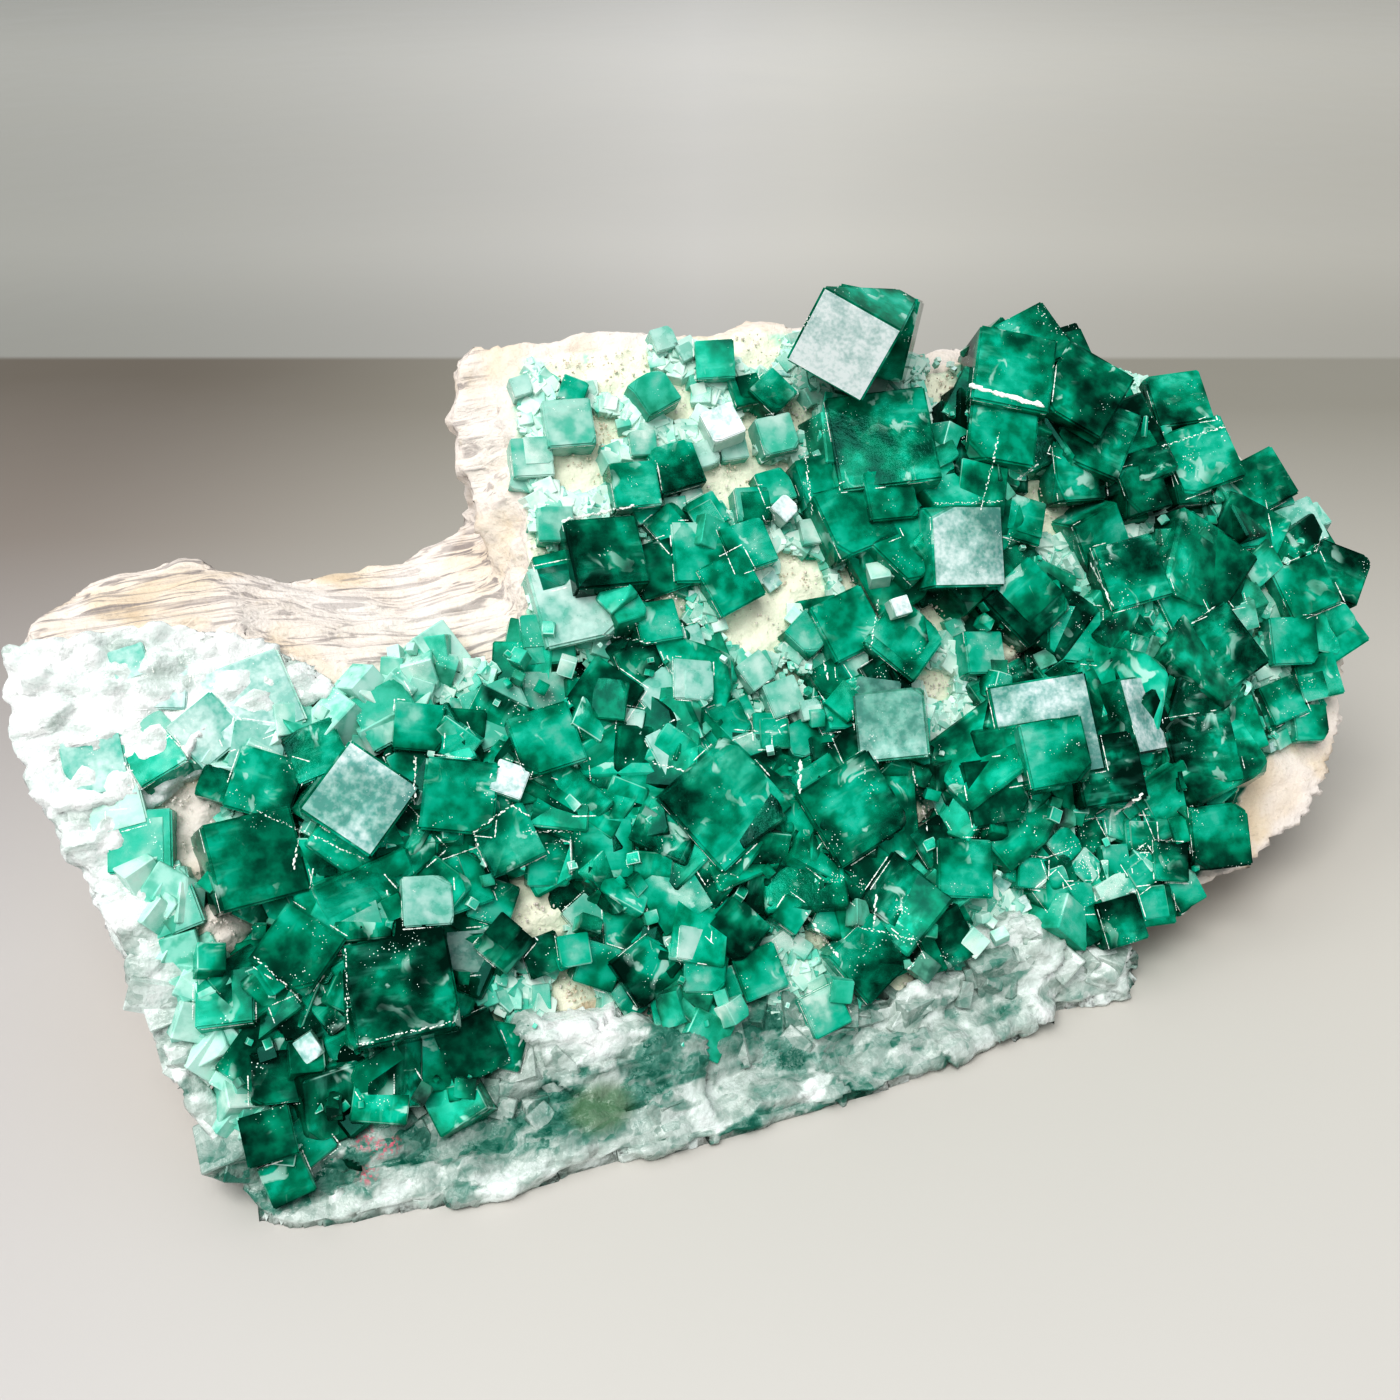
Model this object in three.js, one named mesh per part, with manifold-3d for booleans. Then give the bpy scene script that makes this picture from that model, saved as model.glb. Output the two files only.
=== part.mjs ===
// Cubic fluorite cluster: a leaning slab of cream rock, edged with pale massive fluorite
// and grown over with green cubes. Millimetres, +Z up, +X along the front edge, +Y to the back.

import * as THREE from 'three';
import * as BufferGeometryUtils from 'three/addons/utils/BufferGeometryUtils.js';
import Module from 'manifold-3d';

// Driving dimensions. The origin of the work is the left end of the front edge, on the table.
const SLOPE = THREE.MathUtils.degToRad(48); // how far the crystal face rises above the table
const EYE = new THREE.Vector3(19, -193, 228); // where the druse is looked at from
const GAP = 0.3; // clearance between the solids
const FLAT_GAP = 0.35; // the same over the flat face of the rock
const ROCK_SET_BACK = 1.5; // the rock face lies this far under the crystal face
const BED_MARGIN = 5; // the bed of the crystals reaches this far past the rock's upper edge
const BED_BELOW = 25; // and this far past its lower edge
const BED_DEPTH = 70;
const SMALLEST_BODY = 60; // volume in mm3 under which a chip cut loose is left out
const FINEST_EDGE = 0.004; // points closer than this are one point

// Stations of the rock from left to right: along, where its crystal face begins and ends, underside,
// depth of the broken top, back, rise of the top towards the back, overhang of the wall to the left.
const ARM = [
  [-29.5, 100, 116, 71, 10, 92, -2, 0],
  [-27, 86, 120, 62, 16, 98, -1, 0],
  [-22, 70, 121, 50, 22, 102, 0, 0],
  [-15, 50, 121, 34, 25, 105, 1, 0],
  [-9, 30, 120, 18, 26, 107, 2, 0],
  [-3, 14, 120, 4, 27, 108, 2, 0],
  [3, 8, 120, 0, 26, 109, 3, 0],
  [12, 7, 118, 0, 23, 110, 3, 0],
  [24, 7, 109, 0, 30, 111, 4, 0],
  [36, 6, 105, 0, 36, 112, 6, 0],
  [48, 6, 102, 0, 40, 114, 8, 0],
  [60, 6, 99, 0, 44, 117, 13, 0],
];
const WALL = [
  [70, 6, 100, 0, 46, 120, 15, 0],
  [77, 6, 135, 0, 20, 130, 2, 12],
  [79, 6, 155, 0, 10, 133, -1.5, 14],
  [81, 6, 168, 0, 8, 135, -1.5, 12],
  [84, 6, 172, 0, 7, 136, -1.5, 10],
  [92, 6, 171, 0, 7, 137, -1.5, 3],
];
const BLOCK = [
  [103, 5, 172, 0, 6, 138, -1.5, 0],
  [116, 5, 172, 0, 6, 138, -1.5, 0],
  [130, 6, 171, 0, 7, 137, -1.5, 0],
  [143, 7, 170, 0, 8, 137, -1.5, 0],
  [156, 9, 169, 0, 8, 136, -1.5, 0],
  [170, 11, 161, 0, 9, 134, -1.5, 0],
  [184, 11, 154, 0, 12, 131, -1.5, 0],
  [197, 11, 157, 2, 13, 129, -1.5, 0],
  [209, 15, 158, 6, 12, 127, -1.5, 0],
  [221, 18, 153, 9, 12, 124, -1.5, 0],
  [233, 20, 146, 12, 14, 120, -1.5, 0],
  [243, 25, 144, 16, 13, 116, -1.5, 0],
  [253, 29, 138, 20, 14, 112, -1.5, 0],
  [262, 36, 124, 24, 15, 106, -1.5, 0],
  [269, 48, 113, 33, 14, 99, -1.5, 0],
  [276, 62, 102, 44, 12, 91, -1.5, 0],
  [281, 74, 94, 51.5, 8, 82, -1.5, 0],
];
const ROCK = [...ARM, ...WALL, ...BLOCK];

// The pale rim on the table: along, how far it bulges forward, rise of its front, face to, thickness.
const RIM = [
  [-3, -1, 3, 9, 1.5],
  [3, 3, 3, 11, 2],
  [12, 5, 3, 12, 2.5],
  [22, 6, 4, 15, 3.5],
  [32, 7.5, 4, 15, 3],
  [42, 9.5, 5, 16, 3],
  [52, 9, 5, 28, 4.5],
  [62, 8, 5, 26, 6],
  [72, 9.5, 5, 23, 7],
  [82, 10.5, 4, 19, 6],
  [92, 10, 4, 21, 4],
  [102, 9.5, 4, 19, 4],
  [112, 9.5, 4, 18, 4],
  [122, 9, 4, 15, 4],
  [132, 8.5, 4, 13, 4],
  [142, 6, 4, 15, 4],
  [152, 4.5, 5, 16, 4.5],
  [162, 3, 5, 23, 5.5],
  [172, 0.5, 4, 22, 5.5],
  [182, 1.5, 4, 14, 4.5],
  [190, 1.5, 3, 10, 3.5],
  [196, -3, 2, 9, 2],
];

// The pale strip up the left edge: up, left side, inner side, thickness over the face.
const LEFT_EDGE = [
  [3, -3.5, 1, 1.5],
  [12, -7.5, -2, 2],
  [22, -11.5, -5, 2.5],
  [32, -14.5, -8, 2.5],
  [42, -17, -8, 3],
  [52, -19, -7, 3.5],
  [62, -21.5, -6, 4],
  [72, -24.5, -11, 3],
  [82, -28, -12, 2.5],
  [92, -30.5, 8, 3],
  [100, -32, 30, 3.5],
  [107, -33, 27, 3.5],
  [114, -32.5, 16, 3],
  [120, -31, 2, 2],
];
const STRIP_DEPTH = 9; // how far the strip wraps round the left side of the rock

// Crystals: along and up the face as seen from EYE, edge, turn, lean to the right, tip up, stand.
const LEFT_BANK = [
  [8.5, 69.5, 17.5, 4, 14, 0, 9],
  [31.7, 38.2, 20, -1, 2, 8, 14],
  [13, 50, 13.5, 45, 0, 0, 9],
  [-2, 44, 11, -8, -5, 18, 6],
  [1.5, 16, 9.5, 3, 0, 5, 8],
  [5, 26.5, 10, -8, 0, 0, 6],
  [3.5, 7, 8.5, 12, 0, -12, 5],
  [8, 13, 9, 25, 10, 0, 4],
  [25, 21, 11, 20, 0, -10, 6],
  [33, 22, 11, -10, 0, -8, 6],
  [43, 23, 12, 12, 0, -5, 7],
  [49, 22, 9, -25, 0, 0, 5],
  [12, 36, 10, 10, 5, -10, 5],
  [15, 28, 9, -12, 0, 0, 3],
  [12.5, 84, 13, -28, 0, 0, 6],
  [23.5, 89, 11, 12, 0, 5, 6],
  [30.5, 77.5, 17, 44, 0, 0, 12],
  [39, 94, 12, 18, -5, 0, 5],
  [45, 90, 10, -15, 5, 0, 7],
  [3.2, 86, 6.5, -30, 0, 0, 5],
  [-7.5, 94.5, 9, 20, 0, 0, 5],
  [-15.5, 76, 9.5, -8, -5, 0, 5],
  [-10, 64, 11, 10, -10, 0, 5],
  [14, 61, 12, 15, 0, 0, 5],
  [24, 62, 11, -20, 0, 0, 6],
  [26, 54, 12, 5, 0, 0, 6],
  [37, 66, 12, 30, 0, 0, 7],
  [40, 54, 10, -8, 8, 0, 9],
  [47, 56, 11, 8, 0, 0, 6],
  [50.5, 74, 15, -17, 0, 0, 9],
  [58.5, 63, 12, 14, 0, 0, 8],
  [53, 51, 9, -30, 0, 0, 4],
  [53.5, 42, 9, 38, 0, 0, 6],
  [46, 42, 9, -8, 0, 0, 3],
  [42, 82, 8, 15, 0, 0, 5],
];
const MIDDLE_BANK = [
  [67.5, 37.5, 6.5, -3, 0, 0, 8],
  [61, 38, 8, 8, 0, 0, 5],
  [72, 44, 8, 30, 0, 0, 4],
  [78, 57, 13, -10, 0, 0, 7],
  [66, 56, 9, -12, 0, -5, 5],
  [70.5, 67, 11, -30, 0, 0, 6],
  [87, 72, 16, -6, 0, 0, 6],
  [71, 82.5, 13.5, 7, 0, 5, 9],
  [85.5, 89.5, 13, 44, 0, 0, 7],
  [61.5, 75.5, 7, -32, 0, 10, 9],
  [62, 90, 13, 12, -5, 0, 4],
  [73, 92, 10, -10, 0, 0, 3],
  [95, 95, 9.5, 10, 0, 0, 5],
  [101, 104, 9.5, 0, 0, 8, 6],
  [85.5, 110.5, 15, 3, 0, 0, 5],
  [76, 104, 11, -5, 0, 0, 3],
  [80.5, 119, 8, 5, 0, 0, 6],
  [93, 121.5, 18, -2, 4, 8, 9],
  [99, 75, 11, 15, 0, 0, 7],
  [106, 89.5, 9, -12, 10, 0, 7],
  [98, 87.6, 9, 28, 0, 0, 6],
  [106, 97, 9, 5, 0, 0, 4],
  [90, 83, 5.5, -22, 0, 0, 7],
  [107, 61.5, 21.5, 30, 0, 0, 9],
  [136, 54, 19, 20, -5, -5, 11],
  [149.5, 71, 15.5, -8, -26, 0, 12],
  [132, 43, 14, 40, 0, 0, 7],
  [142, 33, 14, 40, 0, 0, 7],
  [131.5, 21, 14, 30, 0, -5, 7],
  [118.5, 12.5, 9, 12, 0, 0, 6],
  [116, 34.5, 6.5, 42, 0, 0, 7],
  [126, 31.5, 9, -38, 0, 0, 5],
  [112, 46, 12, 15, 0, -5, 5],
  [91, 44, 13, 20, 0, 0, 6],
  [76, 33, 12, -8, 0, -5, 6],
  [88.5, 31, 8, -20, 15, 0, 7],
  [103, 34, 11, 35, 0, 0, 6],
  [106, 24, 10, 8, 0, 0, 5],
  [153, 43, 9, 20, 0, 0, 6],
  [159, 50, 7, 10, 0, 0, 4],
  [158.5, 90, 14.5, 40, 0, 0, 9],
  [145.5, 96, 14, 15, 0, 0, 7],
  [135.5, 95.5, 8.5, 35, 0, 0, 5],
  [152, 82, 10, 20, 0, -5, 7],
  [133.5, 67.5, 8, -5, 0, 0, 6],
  [141.5, 67, 11, 12, 0, -5, 7],
  [121, 89, 7, 25, 0, 0, 5],
  [126, 82, 8, 10, 0, 0, 5],
  [121, 75, 8, -10, 0, 0, 4],
  [128, 72, 8, 15, 0, 0, 4],
  [131.5, 78, 4.5, 0, 0, 0, 6],
  [138, 84, 8, 20, 0, 0, 5],
  [144, 87, 8, -10, 0, 0, 5],
  [112, 79, 8, 10, 0, 0, 4],
  [115, 71, 9, -15, 0, 0, 4],
];
const RIGHT_BANK = [
  [180.3, 109.5, 18.7, -7.5, 4, -10, 14],
  [165.5, 112, 14, 35, 0, 0, 10],
  [154, 121, 16, 12, 0, 0, 10],
  [164, 125, 12, -3, 0, 0, 12],
  [165.5, 139, 23.5, -6, -12, 6, 12],
  [148, 131, 11, 5, 0, 0, 7],
  [196, 114, 11, -25, 0, 0, 8],
  [192, 93.5, 15.5, 30, -10, 0, 10],
  [202, 84, 14, -15, 0, 0, 8],
  [177.5, 83.5, 10, -8, 5, 0, 6],
  [188, 63, 23, -3, -12, 0, 11],
  [187, 57.5, 13, -2, -8, 0, 16],
  [171.5, 51, 15, -4, 0, 0, 9],
  [201.5, 50.5, 16, -3, -5, 0, 12],
  [216.5, 61.5, 18, 0, 25, 0, 10],
  [228, 50, 17, -3, -5, 0, 11],
  [240, 73, 18, 22, -10, 0, 9],
  [159, 35.5, 13, -14, 0, 0, 9],
  [150, 21, 12, 15, 0, -8, 7],
  [194.5, 15.5, 10.5, 2, 0, 0, 8],
  [226, 29, 15, -5, -5, -8, 9],
  [222, 96.5, 16, 4, -8, 0, 10],
  [216.5, 106, 13, 20, 0, -25, 7],
  [232, 117, 12, 5, 0, 0, 8],
  [245.5, 116, 10, -4, 0, 0, 7],
  [251, 123, 17, 8, -12, 0, 9],
  [249, 137.5, 15, -5, -10, 10, 10],
  [266, 114, 14, 15, -15, 0, 6],
  [257, 104, 13, -5, -10, 0, 7],
  [273, 101, 12, 10, -15, 0, 5],
  [281, 87, 13.5, -35, -15, 0, 8],
  [270, 85, 14, 10, -10, 0, 7],
  [262, 72, 12, -10, -10, 0, 6],
  [275, 72, 12, 20, -15, 0, 6],
  [266, 62, 11, 0, -10, 0, 5],
  [254, 58, 10, 10, -5, 0, 5],
  [260, 51, 9, -10, -5, 0, 4],
  [243, 90, 14, 0, -8, 0, 7],
  [233, 87, 11, 12, 0, 0, 8],
];
const LOWER_RIGHT_ROWS = [
  [172, 37, 7, 12, 0, 0, 5],
  [179, 37.5, 7.5, -20, 0, 0, 5],
  [185, 35.5, 7, 28, 0, 0, 6],
  [192, 36, 7.5, -5, 0, 0, 5],
  [199, 38, 7, 15, 0, 0, 5],
  [205, 34, 8, -12, 0, 0, 6],
  [212, 35.5, 8, 8, 0, 0, 6],
  [175, 31, 7, -18, 0, 0, 6],
  [182, 30, 7, 5, 0, 0, 6],
  [189, 29.5, 6.5, 35, 0, 0, 6],
  [196, 29, 8, -8, 0, 0, 6],
  [203, 26, 8, 20, 0, 0, 6],
  [211, 26, 9, -15, 0, 0, 7],
  [179, 25, 7.5, 25, 0, 0, 6],
  [185, 23, 7, -10, 0, 0, 6],
  [187, 16.5, 8, 12, 0, 0, 6],
  [204, 17, 9, -6, 0, 0, 6],
  [213, 19, 8, 14, 0, 0, 5],
];
const SUMMIT = [
  [197.5, 137, 16.5, -22, -8, 4, 11],
  [205, 152, 19, -22, -8, 0, 14],
  [223, 144.5, 18, -44, -12, 0, 16],
  [213, 159.5, 15, 18, -5, 5, 12],
  [226, 158, 10, 10, 0, 0, 9],
  [222.5, 132.5, 17.5, -36, -14, 0, 12],
  [215, 123, 13, -5, 0, -8, 9],
];
const CROWN = [
  [161.3, 163.3, 19.6, -32, -44, -29, 22],
  [169, 165.5, 19, -18, -30, -22, 14],
];
const PLATE_CRYSTALS = [
  [103, 136, 10.5, -3, 0, 0, 7],
  [113.5, 139, 11, 8, 0, 0, 5],
  [107, 145.5, 6, -5, 0, 0, 4],
  [104, 116, 12, 10, 0, -5, 4],
  [115, 118, 14, -8, 0, 0, 5],
  [120, 110, 12, 18, 0, -5, 6],
  [126, 118, 11, 10, 0, 0, 6],
  [109, 125, 9, 30, 0, 0, 4],
  [118, 127, 8, 20, 0, 0, 4],
  [84, 130, 8, -8, 0, 0, 4],
  [91, 152.5, 10, -3, 0, 0, 5],
  [93.5, 160, 7, -30, 0, 0, 4],
  [112.5, 157.5, 9, 22, 0, 0, 6],
  [81, 145.5, 9, -5, 0, 0, 3],
  [128.5, 163.5, 9, -8, -15, -5, 6],
  [134.5, 155, 7, 5, 0, 0, 4],
  [141, 154, 8.5, 35, 0, 0, 6],
  [126.8, 148, 8, 12, -8, 6, 8],
  [128, 142, 6.5, 0, 0, 0, 3],
  [139.5, 143.5, 9, 5, 0, 0, 5],
  [121, 141, 6, 10, 0, 0, 3],
  [117.5, 170, 5.5, 10, 0, 0, 3],
  [122.5, 167, 5, 20, 0, 0, 3],
  [82, 162.5, 4.5, 10, 0, 0, 3],
  [136, 131, 8, 8, 0, 0, 5],
  [129.5, 127.5, 8, -5, 0, 0, 5],
  [137, 125.5, 5.5, 35, 0, 0, 7],
  [142.5, 119, 6, 0, 0, 0, 4],
];

// Bare or crusted places that the small filling crystals leave open: along, up, radius.
const BARE = [
  [-5, 82, 12], [-2, 57, 7], [62, 48, 9], [65, 29, 6], [105, 108, 4], [120, 100, 9], [128, 135, 9],
  [164, 78, 9], [165, 68, 8], [204, 113, 10], [216, 113, 7], [240, 112, 7], [262, 86, 5], [90, 143, 9],
  [85, 165, 16], [105, 165, 14], [140, 166, 12], [75, 130, 10], [78, 158, 12], [110, 148, 8], [30, 104, 14],
  [152, 50, 4], [185, 76, 4], [139, 12, 6], [122, 24, 4], [137, 110, 8], [185, 150, 8], [132, 104, 8],
];
const ROCK_RELIEF = 2.6; // height of the lumps on the broken rock
const WALL_FOOT = 80; // heights between which the block's left wall leans out over the arm
const WALL_FULL = 105;
const FILL_STEP = 14; // spacing of the small filling crystals
const FILL_EDGE = [6, 9]; // their edges
const FILL_CLEAR = 0.46; // share of a big crystal's edge that keeps a small one away

const wasm = await Module();
wasm.setup();

// A repeatable stream of numbers from 0 to 1.
function numberStream(seed) {
  let state = seed;
  return () => {
    state = (state * 1664525 + 1013904223) % 4294967296;
    return state / 4294967296;
  };
}

// Natural unevenness of broken rock, from -1 to 1, the same each time for one place.
function uneven(x, y, z) {
  const broad = Math.sin(0.13 * x + 1.7) * Math.cos(0.11 * y - 0.6) + Math.sin(0.15 * z + 0.09 * x);
  const fine = Math.sin(0.47 * x - 0.31 * z) * Math.cos(0.39 * y + 0.23 * x) + Math.sin(0.61 * z + 0.37 * y);
  return 0.3 * broad + 0.2 * fine;
}

// A place on the leaning crystal face, stand mm in front of it.
function onFace(along, up, stand) {
  return new THREE.Vector3(
    along,
    up * Math.cos(SLOPE) - stand * Math.sin(SLOPE),
    up * Math.sin(SLOPE) + stand * Math.cos(SLOPE),
  );
}

const FACE_ACROSS = new THREE.Vector3(1, 0, 0);
const FACE_UP = new THREE.Vector3(0, Math.cos(SLOPE), Math.sin(SLOPE));
const FACE_OUT = new THREE.Vector3(0, -Math.sin(SLOPE), Math.cos(SLOPE));

// The same place slid along the line of sight until it stands proud of the face.
function towardsEye(along, up, stand) {
  const place = onFace(along, up, 0);
  const sight = EYE.clone().sub(place).normalize();
  return place.addScaledVector(sight, stand / sight.dot(FACE_OUT));
}

function solidOf(geometry) {
  const bare = geometry.clone();
  bare.deleteAttribute('normal');
  bare.deleteAttribute('uv');
  const merged = BufferGeometryUtils.mergeVertices(bare, 1e-5);
  return new wasm.Manifold(new wasm.Mesh({
    numProp: 3,
    vertProperties: new Float32Array(merged.attributes.position.array),
    triVerts: new Uint32Array(merged.index.array),
  }));
}

// Turns a cut solid back into a mesh, with points closer than FINEST_EDGE drawn together.
function geometryOf(solid) {
  const mesh = solid.getMesh();
  const geometry = new THREE.BufferGeometry();
  geometry.setAttribute('position', new THREE.BufferAttribute(new Float32Array(mesh.vertProperties), 3));
  geometry.setIndex([...mesh.triVerts]);
  const merged = BufferGeometryUtils.mergeVertices(geometry, FINEST_EDGE);
  const index = merged.index.array;
  const kept = [];
  for (let i = 0; i < index.length; i += 3) {
    const [a, b, c] = [index[i], index[i + 1], index[i + 2]];
    if (a !== b && b !== c && c !== a) {
      kept.push(a, b, c);
    }
  }
  merged.setIndex(kept);
  merged.computeVertexNormals();
  return merged;
}

// Skins a row of rings, each with the same number of points, into one closed solid.
function loft(rings) {
  const count = rings[0].length;
  const points = rings.flat();
  const faces = [];
  for (let r = 0; r < rings.length - 1; r += 1) {
    for (let k = 0; k < count; k += 1) {
      const a = r * count + k;
      const b = r * count + ((k + 1) % count);
      faces.push(a, b, a + count, b, b + count, a + count);
    }
  }
  for (const end of [0, rings.length - 1]) {
    const middle = new THREE.Vector3();
    rings[end].forEach((point) => middle.addScaledVector(point, 1 / count));
    points.push(middle);
    for (let k = 0; k < count; k += 1) {
      const a = end * count + k;
      const b = end * count + ((k + 1) % count);
      faces.push(...(end === 0 ? [a, points.length - 1, b] : [b, points.length - 1, a]));
    }
  }
  const geometry = new THREE.BufferGeometry().setFromPoints(points);
  geometry.setIndex(faces);
  const solid = solidOf(geometry);
  return solid.volume() > 0 ? solid : solidOf(flipped(geometry));
}

function flipped(geometry) {
  const index = geometry.index.array;
  const turned = [];
  for (let i = 0; i < index.length; i += 3) {
    turned.push(index[i], index[i + 2], index[i + 1]);
  }
  geometry.setIndex(turned);
  return geometry;
}

// One cross-section of the rock: up the crystal face, over the broken top, down the back.
function rockRing([along, from, to, underside, topDepth, back, rise, overhang]) {
  const out = -ROCK_SET_BACK;
  const faceAt = (up) => onFace(along, up, out);
  const top = faceAt(to);
  const ring = [];
  for (let i = 0; i <= 2; i += 1) {
    ring.push(faceAt(from + ((to - from) * i) / 2));
  }
  const crest = new THREE.Vector3(along, top.y + topDepth, top.z + rise);
  ring.push(top.clone().lerp(crest, 0.5).setZ((top.z + crest.z) / 2 + 0.8));
  ring.push(crest);
  const tall = crest.z - underside;
  ring.push(new THREE.Vector3(along, crest.y + (back - crest.y) * 0.45 + 3, underside + tall * 0.8));
  ring.push(new THREE.Vector3(along, crest.y + (back - crest.y) * 0.8 + 4, underside + tall * 0.55));
  ring.push(new THREE.Vector3(along, back + 3, underside + tall * 0.28));
  ring.push(new THREE.Vector3(along, back + 2, underside + tall * 0.07));
  const heel = new THREE.Vector3(along, back - 2, underside);
  const toe = heel.clone().lerp(faceAt(from).setZ(underside), 0.85);
  ring.push(heel);
  ring.push(heel.clone().lerp(toe, 0.5));
  ring.push(toe);
  const core = new THREE.Vector3(along, top.y + 8, top.z - 22);
  return ring.map((point) => {
    const outward = point.clone().sub(core).setX(0).normalize();
    const resting = point.z < underside + FINEST_EDGE;
    const onCrystalFace = point.y <= top.y && !resting;
    if (resting || onCrystalFace) {
      return point;
    }
    const high = THREE.MathUtils.smoothstep(point.z, WALL_FOOT, WALL_FULL);
    const placed = point.clone().addScaledVector(outward, ROCK_RELIEF * uneven(point.x, point.y, point.z));
    return placed.setX(along - overhang * high);
  });
}

// The same solid with its skin moved outwards: the room that its neighbours leave for it.
function swollen(solid, amount) {
  const geometry = geometryOf(solid);
  const { position, normal } = geometry.attributes;
  for (let i = 0; i < position.count; i += 1) {
    const point = new THREE.Vector3().fromBufferAttribute(position, i);
    point.addScaledVector(new THREE.Vector3().fromBufferAttribute(normal, i), amount);
    position.setXYZ(i, point.x, point.y, point.z);
  }
  return solidOf(geometry);
}

// One cross-section of the pale rim, from the table up over the foot of the crystal face.
function rimRing([along, bulge, rise, to, thick]) {
  const rough = (k) => 1.1 * uneven(along * 1.7, k * 9, along * 0.6);
  const front = -bulge;
  const ring = [
    new THREE.Vector3(along, 20, 0),
    new THREE.Vector3(along, front, 0),
    new THREE.Vector3(along, front - 0.8 + 0.5 * rough(1), rise * 0.6),
    new THREE.Vector3(along, front + 0.6, rise + rough(2)),
    onFace(along, to * 0.35, thick * 0.9 + rough(3)),
    onFace(along, to * 0.6, thick + rough(4)),
    onFace(along, to * 0.85, thick * 0.85 + rough(5)),
    onFace(along, to, thick * 0.3 + 0.4 * rough(6)),
    onFace(along, to, -7),
  ];
  return ring.map((point) => point.setZ(Math.max(point.z, 0)));
}

// One cross-section of the pale strip, from the left side of the rock round on to its face.
function stripRing([up, left, inner, thick]) {
  const rough = (k) => 1.0 * uneven(k * 11, up * 1.5, up * 0.7);
  const wide = inner - left;
  const ring = [
    onFace(left + 3, up, -STRIP_DEPTH),
    onFace(left + 0.6 + 0.6 * rough(1), up, -STRIP_DEPTH * 0.5),
    onFace(left, up, 0),
    onFace(left + wide * 0.12, up, thick * 0.75 + 0.5 * rough(2)),
    onFace(left + wide * 0.4, up, thick + rough(3)),
    onFace(left + wide * 0.7, up, thick + rough(4)),
    onFace(inner, up, thick * 0.4),
    onFace(inner, up, -6),
  ];
  return ring.map((point) => point.setZ(Math.max(point.z, 0)));
}

function paleSolid() {
  return loft(RIM.map(rimRing)).add(loft(LEFT_EDGE.map(stripRing)));
}

// The flat bed behind the crystals and the pale pieces: the rock's face, made a little wider.
function bedSolid(below, above) {
  const outline = new THREE.Shape();
  const low = ROCK.map((row) => new THREE.Vector2(row[0], row[1] - below));
  const high = ROCK.map((row) => new THREE.Vector2(row[0], row[2] + above)).reverse();
  outline.setFromPoints([...low, ...high]);
  const bed = new THREE.ExtrudeGeometry(outline, { depth: BED_DEPTH, bevelEnabled: false });
  bed.translate(0, 0, -BED_DEPTH - ROCK_SET_BACK + FLAT_GAP);
  bed.applyMatrix4(new THREE.Matrix4().makeBasis(FACE_ACROSS, FACE_UP, FACE_OUT));
  return solidOf(bed);
}

// One cube of fluorite, its front face centred where it is seen, its back buried in the rock.
function cubeSolid([along, up, edge, turn, lean, tip, stand]) {
  const cube = new THREE.BoxGeometry(edge, edge, edge);
  cube.translate(0, 0, -edge / 2);
  const angles = new THREE.Euler(
    THREE.MathUtils.degToRad(-tip),
    THREE.MathUtils.degToRad(lean),
    THREE.MathUtils.degToRad(turn),
    'XYZ',
  );
  cube.applyMatrix4(new THREE.Matrix4().makeRotationFromEuler(angles));
  cube.applyMatrix4(new THREE.Matrix4().makeBasis(FACE_ACROSS, FACE_UP, FACE_OUT));
  cube.applyMatrix4(new THREE.Matrix4().setPosition(towardsEye(along, up, stand)));
  return solidOf(cube);
}

// Where the crystal-bearing face begins and ends at a given distance along.
function faceSpan(along) {
  for (let i = 0; i < ROCK.length - 1; i += 1) {
    const [here, next] = [ROCK[i], ROCK[i + 1]];
    if (along >= here[0] && along <= next[0]) {
      const share = (along - here[0]) / (next[0] - here[0]);
      return [1, 2].map((k) => here[k] + (next[k] - here[k]) * share);
    }
  }
  return null;
}

// Small crystals that close the gaps between the big ones, apart from the bare places.
function fillCrystals(big) {
  const next = numberStream(41);
  const rows = [];
  for (let up = 16; up < 170; up += FILL_STEP) {
    for (let along = -16; along < 280; along += FILL_STEP) {
      const draws = [next(), next(), next(), next(), next(), next()];
      const place = [along + 5 * (draws[0] - 0.5), up + 5 * (draws[1] - 0.5)];
      const edge = FILL_EDGE[0] + (FILL_EDGE[1] - FILL_EDGE[0]) * draws[2];
      const span = faceSpan(place[0]);
      const inside = span && place[1] > span[0] + 8 && place[1] < span[1] - 6;
      const bare = BARE.some(([a, u, radius]) => Math.hypot(place[0] - a, place[1] - u) < radius + 2);
      const covered = big.some((row) => {
        const reach = FILL_CLEAR * row[2];
        return Math.abs(place[0] - row[0]) < reach && Math.abs(place[1] - row[1]) < reach;
      });
      if (inside && !bare && !covered) {
        rows.push([...place, edge, 90 * draws[3] - 45, 24 * draws[4] - 12, 24 * draws[5] - 12, 2.5 + 2 * draws[0]]);
      }
    }
  }
  return rows;
}

function joined(rows) {
  return rows.map(cubeSolid).reduce((sum, cube) => sum.add(cube));
}

// Colours of the finished pieces.
const rockLook = { color: 0xe9e2d2, roughness: 0.95, metalness: 0 };
const paleLook = { color: 0xcfe0d8, roughness: 0.4, metalness: 0 };
const greenLook = { color: 0x0d6f55, roughness: 0.15, metalness: 0 };
const lightGreenLook = { color: 0x66bd9a, roughness: 0.2, metalness: 0 };

const cluster = new THREE.Group();

function addPiece(name, solid, look) {
  const mesh = new THREE.Mesh(geometryOf(solid), new THREE.MeshStandardMaterial(look));
  mesh.name = name;
  cluster.add(mesh);
  return mesh;
}

// The largest body left after a cut, without the chips and without any closed bubble.
function bodiesOf(solid) {
  return solid.decompose()
    .filter((body) => body.volume() > SMALLEST_BODY)
    .sort((a, b) => b.volume() - a.volume());
}

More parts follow.
